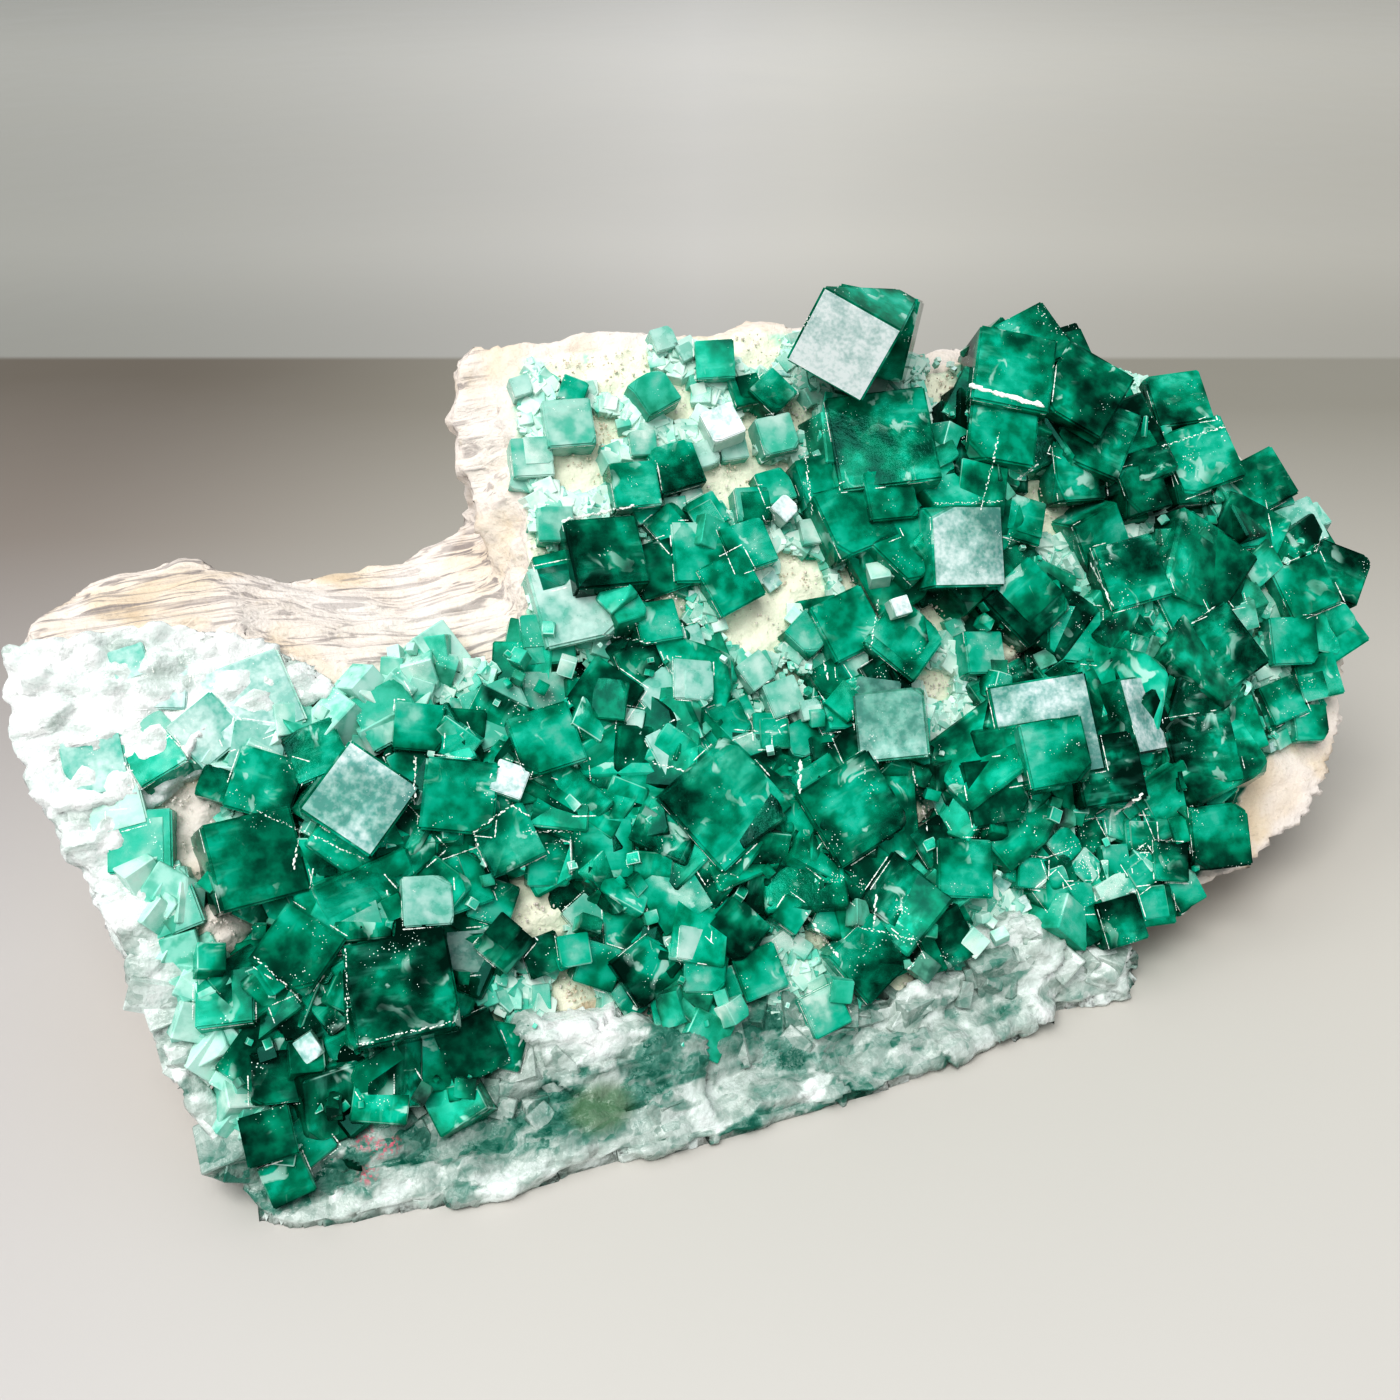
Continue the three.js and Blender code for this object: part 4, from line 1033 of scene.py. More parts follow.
def chip_planes(edge, draw, share):
    """Up to two planes that take a corner off, at random but the same each time."""
    planes = []
    for _ in range(2):
        if draw.random() < share:
            corner = Vector(draw.choice((-1.0, 1.0), 3)) * edge / 2
            corner.z = edge / 2
            slant = Vector(draw.uniform(0.35, 1.0, 3))
            normal = Vector(abs(slant[k]) * math.copysign(1, corner[k]) for k in range(3)).normalized()
            planes.append((corner - normal * edge * draw.uniform(0.06, 0.16), normal))
    return planes


print("a cube with blunt edges has", len(cut_cube(10.0, [], 0.3)[0]), "points")

# %% [markdown]
# Smaller cubes grow out of the sides of a bigger one, and some cubes carry a low step on their
# front, a thin plate in parallel. The crown cube stands alone and lacks its upper left corner at
# the back, where a long break runs from edge to edge. All of them are kept as one mesh.

# %% The big crystals
BACK_CORNER = [(Vector((-9.8, 9.8, 9.0)), Vector((-0.62, 0.62, -0.48)).normalized())]
BLUNT = 0.032  # of the edge
MOST_BLUNT = 0.5
STEP_UNDER = 16  # only cubes with a shorter edge carry a low step


def grow_crystal(gathering, row, seed, alone=False):
    """One big crystal, smaller ones grown into its sides, and a low step on its front."""
    draw = np.random.default_rng(seed)
    along, up, edge = row[:3]
    basis = turned(row)
    tone, sheen, frost = LOOK_WORDS[row[7]]
    middle = towards_eye(along, up, row[6]) - basis @ Vector((0, 0, edge / 2))
    parts = [(edge, Vector((0, 0, 0)), Matrix.Identity(3), (tone, sheen, frost))]
    for _ in range(0 if alone else draw.integers(0, 3)):
        small = edge * draw.uniform(0.35, 0.72)
        angle = draw.uniform(0, 2 * math.pi)
        offset = Vector((math.cos(angle), math.sin(angle), 0)) * edge * draw.uniform(0.35, 0.55)
        offset.z = (edge - small) / 2 - edge * draw.uniform(0.15, 0.45)
        seen_at = basis @ offset
        if is_bare(along + seen_at.dot(ACROSS), up + seen_at.dot(UP_FACE), 0.2 * small):
            continue
        twist = Matrix.Rotation(math.radians(draw.uniform(-25, 25)), 3, "Z")
        twist = twist @ Matrix.Rotation(math.radians(draw.uniform(-18, 18)), 3, "X")
        parts.append((small, offset, twist, (tone + draw.uniform(-0.08, 0.08), sheen * 0.3, frost)))
    if not alone and edge < STEP_UNDER and draw.random() < 0.22:
        size = edge * draw.uniform(0.6, 0.9)
        shift = (edge - size) / 2
        sideways, upwards = draw.choice((-1, 1)), draw.choice((-1, 1))
        offset = Vector((sideways * (shift + 0.12), upwards * (shift + 0.12), shift))
        offset.z += draw.uniform(0.12, 0.35)
        parts.append((size, offset, Matrix.Identity(3), (tone, sheen, frost)))
    for number, (size, offset, twist, looks) in enumerate(parts):
        chips = chip_planes(size, draw, 0.0 if alone else 0.45)
        if row[7] == "crown":
            chips = BACK_CORNER
        points, faces = cut_cube(size, chips, min(MOST_BLUNT, BLUNT * size), 2)
        world = [middle + basis @ (twist @ point + offset) for point in points]
        gathering.add(world, faces, points, size / 2, seed % 97 + number * 0.37, looks)


big = Gathering()
for number, row in enumerate(BIG_ROWS):
    grow_crystal(big, row, 1000 + number, alone=row in CROWN)
big_crystals = big.as_object("green_cubes", green)

# %% [markdown]
# Small cubes look alike from a distance, so cutting each with bmesh would be wasted time. Sixteen
# chipped cubes are cut once, and every small crystal is one of them, stretched, turned and moved
# with numpy.

# %% Ready shapes for small crystals
SHAPES = []
shape_draw = np.random.default_rng(5)
for _ in range(16):
    points, faces = cut_cube(1.0, chip_planes(1.0, shape_draw, 0.5), 0.03)
    SHAPES.append((np.array(points), faces))


def small_cube(gathering, middle, edge, basis, draw, looks):
    """One of the ready shapes. Its veils are read in its own space, before it is stretched."""
    points, faces = SHAPES[draw.integers(0, len(SHAPES))]
    own = points * edge
    world = (own * draw.uniform(0.8, 1.2, 3)) @ np.array(basis).T + np.array(middle)
    gathering.add(world, faces, own, edge / 2, draw.uniform(0, 90), looks)


def any_way(draw, tilt):
    """A random turn, leaned and tipped by up to tilt degrees."""
    lean, tip = np.radians(draw.uniform(-tilt, tilt, 2))
    own = Matrix.Rotation(tip, 3, "X") @ Matrix.Rotation(lean, 3, "Y")
    return own @ Matrix.Rotation(math.radians(draw.uniform(0, 90)), 3, "Z")


print("ready shapes:", len(SHAPES))

# %% [markdown]
# The gaps fill up in layers, as they did in nature. Large cubes lie low under the big ones and only
# show in the gaps, then come smaller ones, and last a fine crust. A particle system could spread
# them, but it can't ask what lies over a place. This loop draws a place at random, drops it where
# the face is bare, massive or covered, and takes size and tone from the lists above.

# %% Spreading small crystals
# painted glint: a few tiny cubes get a bright painted sheen on their front face, as if they caught the
# light
PAINTED_GLINT = (0.92, 0.9, 0.2)  # the looks of a few tiny cubes that flash
SPREAD_ALONG = (-30, 284)
SPREAD_UP = (8, 172)


def scatter(name, material, count, edges, stand, rise, tilt, seed, lift, only_pale=False, under=False):
    """Small cubes at random over the face, half sunk in it. lift makes their tone lighter.
    Their front faces reach from stand up by rise edges. only_pale keeps them in the pale places, and
    without it they stay out of those. under lets them lie under the big crystals."""
    draw = np.random.default_rng(seed)
    gathering = Gathering()
    made = 0
    while made < count:
        along, up = draw.uniform(*SPREAD_ALONG), draw.uniform(*SPREAD_UP)
        pale_here = paleness(along, up)
        edge = edges[0] + (edges[1] - edges[0]) * draw.random() ** 1.6
        edge *= smaller_there(along, up) * (1 if only_pale else 1 - 0.3 * pale_here)
        reach = 0.45 * edge
        corners = ((along - reach, up), (along + reach, up), (along, up - reach), (along, up + reach))
        if not all(within(FACE_OUTLINE, *corner) for corner in corners):
            continue
        if is_bare(along, up, 0.42 * edge):
            continue
        if not under and covered(along, up, 0.04 * edge) and draw.random() < 0.9:
            continue
        if within(MASSIVE_OUTLINE, along, up):
            continue
        if only_pale != (draw.random() < pale_here):
            continue
        if under and max(paleness(*corner) for corner in corners) > 0.55:
            continue
        front = stand + edge * rise * draw.random()
        if under:
            front = min(front, room_under(along, up, edge))
        place = towards_eye(along, up, front) - OUT * edge * 0.5
        tone = tone_there(along, up) + lift + draw.uniform(-0.07, 0.07)
        tone = tone + (0.99 + draw.uniform(-0.13, 0.10) - tone) * pale_here
        frost = (0.4 * draw.random() ** 8 if edge < 8 else 0.0) + 0.15 * pale_here
        # a few tiny cubes take the painted glint
        looks = PAINTED_GLINT if edge < 8 and draw.random() < 0.03 else (tone, 0.0, frost)
        small_cube(gathering, place, edge, FACE_BASIS @ any_way(draw, tilt), draw, looks)
        made += 1
    return gathering.as_object(name, material)


under_crystals = scatter("lower_cubes", green_crust, 370, (12, 23), 4.8, 0.2, 18, 20, -0.05, under=True)
filling_crystals = scatter("filling_cubes", green_crust, 40, (8, 12), 6.0, 0.3, 26, 21, 0.0)
small_crystals = scatter("small_cubes", green_crust, 110, (3.0, 7.5), 7.0, 0.3, 30, 22, 0.05)
crust = scatter("crust", green_crust, 260, (1.2, 3.0), 6.5, 0.4, 25, 23, 0.12)
pale_crust = scatter("pale_crust", green_crust, 3400, (1.2, 4.6), 0.9, 0.2, 20, 24, 0.3, only_pale=True)

# %% [markdown]
# Along the left strip the massive fluorite passes into the green cubes through a fringe of pale
# ones. They follow a line of listed places, each a little off the line by chance.

# %% The pale fringe
FRINGE = [
    (52, 104), (44, 98), (28, 95), (12, 91), (2, 88), (-6, 80), (-9, 70), (-9, 60), (-6, 48),
    (-6, 38), (-2, 26), (2, 16),
]


def fringe(name, material, line, count, edges, seed):
    """Small pale cubes along a line of places."""
    draw = np.random.default_rng(seed)
    gathering = Gathering()
    for _ in range(count):
        at = draw.uniform(0, len(line) - 1.001)
        first, last = np.array(line[int(at)]), np.array(line[int(at) + 1])
        along, up = first + (last - first) * (at % 1) + draw.normal(0, 2.6, 2)
        if is_bare(along, up, 2.0):
            continue
        edge = edges[0] + (edges[1] - edges[0]) * draw.random() ** 1.5
        place = towards_eye(along, up, draw.uniform(1.0, 4.0)) - OUT * edge * 0.4
        looks = (draw.uniform(0.62, 0.95), 0.0, draw.uniform(0.1, 0.8))
        small_cube(gathering, place, edge, FACE_BASIS @ any_way(draw, 35), draw, looks)
    return gathering.as_object(name, material)


fringe_crystals = fringe("pale_fringe", green_crust, FRINGE, 170, (2.0, 9.0), 27)

# %% [markdown]
# The solids are coarse, because they only need the main forms. Sculpting by hand would be lost at
# the next change of the solids. So a copy of a solid is remeshed into even small cells, and then
# every point is pushed along its normal by a sum of noises. The solid itself is never changed.

# %% A fine copy of a solid


def fine_copy(node, name, cell):
    """A new mesh with the node's form in small even cells, as points in work measures and faces."""
    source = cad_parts[node]
    mesh = source.data.copy()
    mesh.transform(source.matrix_world)
    piece = bpy.data.objects.new(name, mesh)
    bpy.context.collection.objects.link(piece)
    remesh = piece.modifiers.new("even cells", "REMESH")
    remesh.mode = "VOXEL"
    remesh.voxel_size = cell * MM
    fine = bpy.data.meshes.new_from_object(piece.evaluated_get(bpy.context.evaluated_depsgraph_get()))
    piece.modifiers.clear()
    piece.data = fine
    points = np.empty(len(fine.vertices) * 3)
    fine.vertices.foreach_get("co", points)
    normals = np.empty(len(fine.vertices) * 3)
    fine.vertices.foreach_get("normal", normals)
    return piece, points.reshape(-1, 3) / MM - SHIFT, normals.reshape(-1, 3)


def push(piece, points, normals, amounts):
    moved = metres(points + normals * np.asarray(amounts)[:, None])
    piece.data.vertices.foreach_set("co", moved.ravel())
    piece.data.update()


def facets(point, size, seed):
    """The height of the flat break that a point lies on, and a number from 0 to 1 of its own."""
    at = point / size + Vector((seed, 0, 0))
    _, centres = noise.voronoi(at)
    centre = centres[0]
    slant = Vector((noise.noise(centre * 3.1), noise.noise(centre * 4.7), noise.noise(centre * 5.3)))
    own = math.modf(abs(centre.x * 12.7 + centre.y * 37.3 + centre.z * 71.9))[0]
    return slant.dot(at - centre) * size, own


print("height of a break at one place, mm:", round(facets(Vector((10, 20, 30)), 11.0, 3.0)[0], 2))

# %% [markdown]
# The slab's back and sides are broken into broad lumps with a few cracks, and its arm has split
# along the grain into long fibres. The crystal face stays nearly flat, so that nothing comes up
# through the crust, apart from low mounds of bare cream rock in the bare places. These helpers say
# how far a point of the rock moves, and where the crust between the crystals is mint.

# %% Mounds, breaks and fibres
MOUND = 4.0  # how far the rock rises in the bare places, out to the cubes round them
MINT = [
    (80, 138, 20), (84, 158, 16), (74, 120, 14), (70, 108, 10), (150, 104, 14), (165, 78, 14),
    (128, 104, 12), (28, 100, 14), (190, 90, 10), (100, 168, 12), (148, 168, 10), (122, 82, 12),
    (240, 112, 10), (64, 96, 12),
]


def mintness(along, up):
    """Where the light crust between the crystals is mint instead of cream."""
    nearest = min(math.hypot(along - a, up - u) / radius for a, u, radius in MINT)
    return min(1.0, max(0.0, 2.0 - 2 * nearest))


def mound(along, up, bare):
    """How high the bare rock stands there, lower where the growth round it is pale and low."""
    return MOUND * bare * (1 - 0.8 * paleness(along, up))


def face_push(point, in_massive, along, up, bare):
    lift = 0.0 if in_massive else mound(along, up, bare) * (0.8 + 0.8 * noise.noise(point * 0.35))
    return lift + 0.9 * noise.noise(point * 0.4) + 0.4 * noise.noise(point * 1.1)


def broken_push(x, y, z, split):
    """How far a point off the crystal face moves: lumps and breaks, or fibres where it has split."""
    point = Vector((x, y, z))
    wave = 3 * noise.noise(point * 0.03)
    ridge = noise.noise(Vector((x * 0.025, y * 0.30 + wave, z * 0.2))) + 0.5 * noise.noise(point * 0.12)
    thread = noise.noise(Vector((x * 0.05, y * 0.55 + 2 * wave, z * 0.4)))
    lumps = 2.6 * noise.noise(point * 0.06) + 1.0 * noise.noise(point * 0.16)
    lumps += 0.4 * noise.noise(point * 0.45)
    crack = max(0.0, 1 - abs(noise.noise(point * 0.08 + Vector((5, 9, 2)))) / 0.07)
    broken = facets(point, 11.0, 3.0)[0]
    return (1 - split) * (lumps + 0.35 * broken - crack) + split * (1.6 * ridge + 0.6 * thread) - 0.9


print("mound in the middle of a bare place, mm:", round(mound(124, 101, bareness(124, 101)), 2))

# %% [markdown]
# Each point of the fine rock is either on the crystal face or off it. On the face the bare places
# are asked for along the line of sight, because that is how they were read from the picture. Off it
# the arm and the block are one solid, so a share called split fades from the fibres to the lumps.
# Every point also carries whether it is grown over, how pale and how mint.

# %% The matrix rock
ARM_END = 78.0  # the arm's split top ends at the wall of the block
TAN_END = 5.0  # left of this the bare rock is tan instead of cream
rock, rock_points, rock_normals = fine_copy("matrix_rock", "cream_matrix", 1.4)
amounts, fibres, crusted = [], [], []
for x, y, z, nx, ny, nz in np.hstack((rock_points, rock_normals)).tolist():
    point = Vector((x, y, z))
    faces_out = Vector((nx, ny, nz)).dot(OUT)
    if faces_out > 0.9 and abs(point.dot(OUT) + 1.5) < 1.2:
        along, up = point.dot(ACROSS), point.dot(UP_FACE)
        raised = point + OUT * (MOUND + 1.5)
        sight = (EYE - raised).normalized()
        looked_at = raised - sight * (MOUND / sight.dot(OUT))
        bare = bareness(looked_at.dot(ACROSS), looked_at.dot(UP_FACE))
        in_massive = within(MASSIVE_OUTLINE, along, up)
        grown = within(FACE_OUTLINE, along, up) and not in_massive and bare < 0.2
        cream = bare > 0.2 and along > TAN_END
        mint_here = 0.0 if cream else max(0.25, mintness(along, up))
        amounts.append(face_push(point, in_massive, along, up, bare))
        fibres.append(0.0)
        crusted.append((float(grown or cream), 1.0 if cream else paleness(along, up), mint_here))
        continue
    split = max(0.0, min(1.0, (ARM_END - x) / 8)) * max(0.0, min(1.0, (nz - 0.2) * 3))
    on_table = z < 0.4
    amounts.append(0.0 if on_table else broken_push(x, y, z, split))
    fibres.append(0.0 if on_table else 0.12 + 0.88 * split)
    crusted.append((0.0, 0.0, 0.0))
push(rock, rock_points, rock_normals, amounts)
rock.data.shade_smooth()
grown, pale_there, mint_there = zip(*crusted)
for key, values in (("fibres", fibres), ("grown", grown), ("pale", pale_there), ("mint", mint_there)):
    carry(rock.data, key, values)
rock.data.materials.clear()
rock.data.materials.append(rock_look)
print("rock cells:", len(rock.data.polygons))

# %% [markdown]
# The massive fluorite isn't one colour. It is nearly white at the upper left and on its raised
# ledge, and grey-green where it is clearer low on the rim, with an olive place and three rose-red
# specks. A list of round places, read from the picture, holds how white it is.

# %% How white the massive fluorite is
WHITENESS = [
    (-9, 115, 5, 0.45), (-23, 104, 4, 0.5), (-12, 108, 28, 0.78), (25, 108, 22, 0.74),
    (10, 98, 14, 0.74), (-20, 84, 16, 0.74), (-12, 64, 9, 0.56), (-10, 45, 12, 0.76),
    (-2, 28, 12, 0.56), (3, 12, 9, 0.30), (16, 9, 9, 0.40), (26, 8, 10, 0.30), (40, 10, 12, 0.34),
    (14, 0, 9, 0.34), (32, 1, 9, 0.32), (52, 10, 8, 0.46), (68, 27, 14, 1.00), (64, 5, 9, 0.30),
    (80, 10, 12, 0.38), (92, 20, 9, 0.28), (100, 6, 12, 0.44), (104, 18, 10, 0.28),
    (118, 26, 7, 0.62), (122, 6, 12, 0.52), (126, 18, 8, 0.32), (142, 8, 12, 0.56),
    (160, 12, 12, 0.44), (166, 24, 12, 0.74), (176, 12, 10, 0.66), (190, 20, 16, 0.56),
]
# the rose-red specks: two places run together, so four make three specks
STAINS = [(19, 11, 1.7), (21.5, 8.5, 1.3), (24, 8.5, 1.2), (18.5, 4, 1.5)]
OLIVE_PLACE = (66, 5, 8.5)


def whiteness(along, up):
    weight, total = 0.3, 0.3 * 0.6
    for a, u, radius, value in WHITENESS:
        near = max(0.0, 1.3 - math.hypot(along - a, up - u) / radius) ** 2
        weight += near
        total += near * value
    return total / weight


def olive_at(along, up):
    middle, height, reach = OLIVE_PLACE
    return 0.75 * max(0.0, min(1.0, (reach - math.hypot(along - middle, (up - height) * 1.4)) / 3.5))


def stain_at(along, up):
    return max(max(0.0, min(1.0, 1.7 - math.hypot(along - a, up - u) / r)) for a, u, r in STAINS)


print("white at the ledge:", round(whiteness(68, 27), 2), "low on the rim:", round(whiteness(26, 8), 2))

# %% [markdown]
# The massive fluorite breaks like glass: planes a few millimetres across, at all angles, and at the
# upper left rounded lumps instead. Two sizes of tilted facets give the broken rim. The lumps are
# Voronoi cells with creases between them. Every point also carries how white it is, with a shift
# for each facet, so that neighbouring breaks differ.

# %% The massive fluorite
LEDGE = (69, 26, 22)  # along, up and reach of the raised ledge


def pillow(point, size, seed):
    """Rounded lumps with creases between them, from the gap between the two nearest cell centres."""
    gaps, _ = noise.voronoi(point / size + Vector((seed, 0, 0)))
    return min(0.45, gaps[1] - gaps[0]) * size


rim, rim_points, rim_normals = fine_copy("massive_fluorite", "pale_massive_fluorite", 0.9)
amounts, chunks, olive_there, stain_there = [], [], [], []
for x, y, z in rim_points.tolist():
    point = Vector((x, y, z))
    along, up = seen_place(point)
    height = point.dot(UP_FACE)
    drawn = Vector((x * 0.5, y, z))
    large, own = facets(drawn, 8.0, 1.0)
    small, own_small = facets(drawn, 3.4, 5.0)
    upper = max(0.0, min(1.0, (up - 55) / 15))
    white = whiteness(along, up) - 0.12 * max(0.0, min(1.0, (14 - up) / 8)) + 0.14 * upper
    own_shift = (0.42 - 0.22 * upper) * (own - 0.5) + (0.36 - 0.16 * upper) * (own_small - 0.5)
    low = max(0.15, min(1.0, (48 - height) / 20, (x - 2) / 14))
    ledge = 2.2 * max(0.0, 1 - math.hypot(x - LEDGE[0], (height - LEDGE[1]) * 1.6) / LEDGE[2])
    lumps = (0.8 + 0.5 * low) * noise.fractal(point * 0.09, 1.2, 2.0, 2)
    lumps += (0.3 * low + 0.4 * upper) * pillow(point, 7.0, 2.0) + 0.25 * upper * pillow(point, 3.5, 6.0)
    broken = (0.35 + 0.5 * low) * large + (0.06 + 0.22 * low) * small + 0.08 * noise.noise(point * 1.2)
    amounts.append(0.0 if z < 0.3 else broken + lumps + ledge - 1.0)
    chunks.append(white + own_shift)
    olive_there.append(olive_at(along, up))
    stain_there.append(stain_at(along, up))
push(rim, rim_points, rim_normals, amounts)
for key, values in (("chunk", chunks), ("olive", olive_there), ("stain", stain_there)):
    carry(rim.data, key, values)
rim.data.shade_smooth()
rim.data.materials.clear()
rim.data.materials.append(pale)
print("rim cells:", len(rim.data.polygons))

# %% [markdown]
# Here and there a clearer block with flat sides sticks out of the rim. Facets pushed along the
# normals can't make such sharp blocks, so they are pieces of their own: ready cubes, stretched,
# turned to stand out of the surface where they lie, and more than half sunk in it.

# %% Glassy blocks on the massive fluorite
BLOCKS = 70
BLOCK_EDGES = (3.0, 10.0)
block_draw = np.random.default_rng(41)
block_points, block_faces, block_chunks = [], [], []
start = 0
while len(block_points) < BLOCKS:
    at = block_draw.integers(0, len(rim_points))
    point, normal = Vector(rim_points[at]), Vector(rim_normals[at])
    if point.z < 8 or normal.dot(OUT) < 0.6 or point.dot(UP_FACE) > 50:
        continue
    edge = block_draw.uniform(*BLOCK_EDGES)
    way = normal.to_track_quat("Z", "Y").to_matrix() @ any_way(block_draw, 26)
    points, faces = SHAPES[block_draw.integers(0, len(SHAPES))]
    stretch = block_draw.uniform(0.6, 1.3, 3) * edge
    middle = point - normal * edge * block_draw.uniform(0.52, 0.68)
    block_points.append((points * stretch) @ np.array(way).T + np.array(middle))
    block_faces.extend([[start + corner for corner in face] for face in faces])
    white = whiteness(*seen_place(middle)) + block_draw.uniform(-0.2, 0.0)
    block_chunks.extend([white] * len(points))
    start += len(points)
blocks = new_piece("pale_blocks", np.concatenate(block_points), block_faces, pale)
carry(blocks.data, "chunk", block_chunks)

# %% [markdown]
# Crumbs of lime and rock lie in the bare places and in the cracks between crystals. A bump map
# would look flat here, because real crumbs throw small shadows. Each crumb is a stretched
# icosahedron with its points pushed about, so no two look alike.

# %% Crumbs


def icosahedron():
    shape = bmesh.new()
    bmesh.ops.create_icosphere(shape, subdivisions=1, radius=1.0)
    points, faces = points_and_faces(shape)
    return np.array(points), faces


CRUMB_POINTS, CRUMB_FACES = icosahedron()


def crumb_faces(count):
    """The faces of that many crumbs whose points follow each other in one list."""
    faces = []
    for start in range(0, count * len(CRUMB_POINTS), len(CRUMB_POINTS)):
        faces.extend([[start + corner for corner in face] for face in CRUMB_FACES])
    return faces


def crumbs(name, count, seed):
    """Every second crumb lies in a bare place, and the others anywhere on the face."""
    draw = np.random.default_rng(seed)
    points = []
    for number in range(count):
        in_bare = number % 2 == 1
        if in_bare:
            a, u, radius = BARE[draw.integers(0, len(BARE))]
            angle, far = draw.uniform(0, 2 * math.pi), radius * draw.uniform(0, 1.05)
            along, up = a + far * math.cos(angle), u + far * math.sin(angle)
        else:
            along, up = draw.uniform(-25, 280), draw.uniform(10, 168)
        if not within(FACE_OUTLINE, along, up):
            continue
        size = draw.uniform(0.10, 0.40) if in_bare else draw.uniform(0.15, 0.50)
        own = CRUMB_POINTS * draw.uniform(0.5, 1.3, 3) * size
        own = own * draw.uniform(0.75, 1.2, (len(CRUMB_POINTS), 1))
        if in_bare:
            stand = mound(along, up, bareness(along, up)) + draw.uniform(-1.6, -0.4)
        else:
            stand = draw.uniform(-1.2, 1.5)
        points.append(own + np.array(towards_eye(along, up, stand)))
    return new_piece(name, np.concatenate(points), crumb_faces(len(points)), crumb_look)


lime = crumbs("lime_crumbs", 3200, 31)

# %% [markdown]
# The thin white seams lie where the eye meets the crystals, so they are laid from the eye too. All
# crystals and the rock go into one search tree, which can say at once what a line of sight meets
# first, and how far that is behind the point it was aimed at.

# %% Lines of sight
ALL_CRYSTALS = (
    big_crystals, fringe_crystals, under_crystals, filling_crystals, small_crystals, crust, pale_crust,
)
corners, sides = [], []
for piece in (*ALL_CRYSTALS, rock, rim, blocks):
    start = len(corners)
    corners.extend([vertex.co.copy() for vertex in piece.data.vertices])
    sides.extend([[start + corner for corner in face.vertices] for face in piece.data.polygons])
seen = BVHTree.FromPolygons(corners, sides)


def in_frame(point):
    return Vector((np.array(point) + SHIFT) * MM)


def met(point):
    """What the eye meets on the line through a work point: its place, its normal and how far behind."""
    origin = in_frame(EYE)
    way = in_frame(point) - origin
    place, normal, _, far = seen.ray_cast(origin, way.normalized())
    if place is None:
        return None
    return Vector(np.array(place) / MM - SHIFT), normal, far / MM - way.length / MM


print("faces that a line of sight can meet:", len(sides))

# %% [markdown]
# White lime has settled where two crystals meet, and here and there along a sharp edge. The larger
# seams were read from the picture one by one: a seam is a row of grains from one place on the face
# to another, and a star is a round sprinkle of them. Flat white lines would be simpler, but grains
# catch the light and break up the line as the real ones do.

# %% Seams and stars of lime
SEAMS = [
    (10, 79, 29, 65, 0.22), (18, 74, 15, 66, 0.35), (43, 84, 41, 74, 0.32), (52, 66, 61, 70, 0.30),
    (52, 66, 52, 61, 0.26), (60, 71, 64, 67, 0.26), (62, 64, 72, 62, 0.22), (22, 48, 20, 34, 0.22),
    (21, 29, 41, 29, 0.22), (126, 67, 124, 60, 0.55), (93, 73, 99, 70, 0.26),
    (154, 100, 149, 89, 0.22), (137, 88, 137, 84, 0.35), (88, 103, 99, 99, 0.26),
    (136, 34, 134, 28, 0.35), (129, 29, 142, 23, 0.22), (119, 34, 124, 23, 0.45),
    (192, 149, 209, 142, 0.85), (145, 138, 143, 123, 0.26), (174, 121, 192, 119, 0.20),
    (211, 100, 214, 89, 0.40), (198, 124, 204, 127, 0.35), (240, 127, 262, 130, 0.24),
    (85, 130, 102, 131, 0.50), (186, 118, 196, 136, 0.26), (5, 50, 12, 40, 0.26),
    (152, 60, 152, 46, 0.30), (200, 40, 208, 43, 0.6),
]
STARS = [
    (141, 30, 2.6, 46), (142, 23, 3.2, 30), (101, 45, 6, 40), (128, 40, 7, 60), (66, 90, 5, 30),
    (205, 29, 6, 60), (188, 30, 12, 90), (153.5, 171, 3.0, 60), (149, 159, 3.0, 40),
    (221, 163, 6.0, 60), (262, 128, 5.0, 40),
]
print("seams:", len(SEAMS), "stars:", len(STARS))

# %% [markdown]
# A grain is a crumb flattened on what it lies on and drawn out along its seam. Along a seam the aim
# wanders a little from step to step, and every step lays one grain where the line of sight lands. In
# a star the grains are dense in the middle and thin out.

# %% Laying the seams and stars
grain_draw = np.random.default_rng(51)
grain_points = []


def lay_grain(spot, size, along=None, stretch=1.0):
    """One grain, flattened on what it lies on and drawn out along a line."""
    place, normal, _ = spot
    own = CRUMB_POINTS * grain_draw.uniform(0.7, 1.2, (len(CRUMB_POINTS), 1)) * size
    up = np.array(normal)
    own = own - np.outer(own @ up, up) * 0.5
    if along is not None:
        way = np.array(along.normalized())
        own = own + np.outer(own @ way, way) * (stretch - 1)
    grain_points.append(own + np.array(place))


for a, u, b, v, width in SEAMS:
    first, last = on_face(a, u), on_face(b, v)
    steps = max(4, int((last - first).length / 0.45))
    for step in range(steps + 1):
        wander = on_face(*grain_draw.uniform(-0.25, 0.25, 2))
        spot = met(first.lerp(last, step / steps) + wander)
        if spot:
            lay_grain(spot, width * 0.8 * grain_draw.uniform(0.4, 1.2), last - first, 1.8)
for a, u, radius, count in STARS:
    for _ in range(count):
        angle, far = grain_draw.uniform(0, 2 * math.pi), radius * grain_draw.random() ** 1.3
        spot = met(on_face(a + far * math.cos(angle), u + far * math.sin(angle)))
        if spot:
            lay_grain(spot, grain_draw.uniform(0.06, 0.20))
print("grains in seams and stars:", len(grain_points))

# %% [markdown]
# Finer lime lies in the creases round the big crystals. They are found as the eye finds them: a line
# of sight that passes just outside a crystal's front face, and lands on a neighbour close behind it,
# shows a crease. A broad noise leaves out stretches, so that not every cube has a white outline.

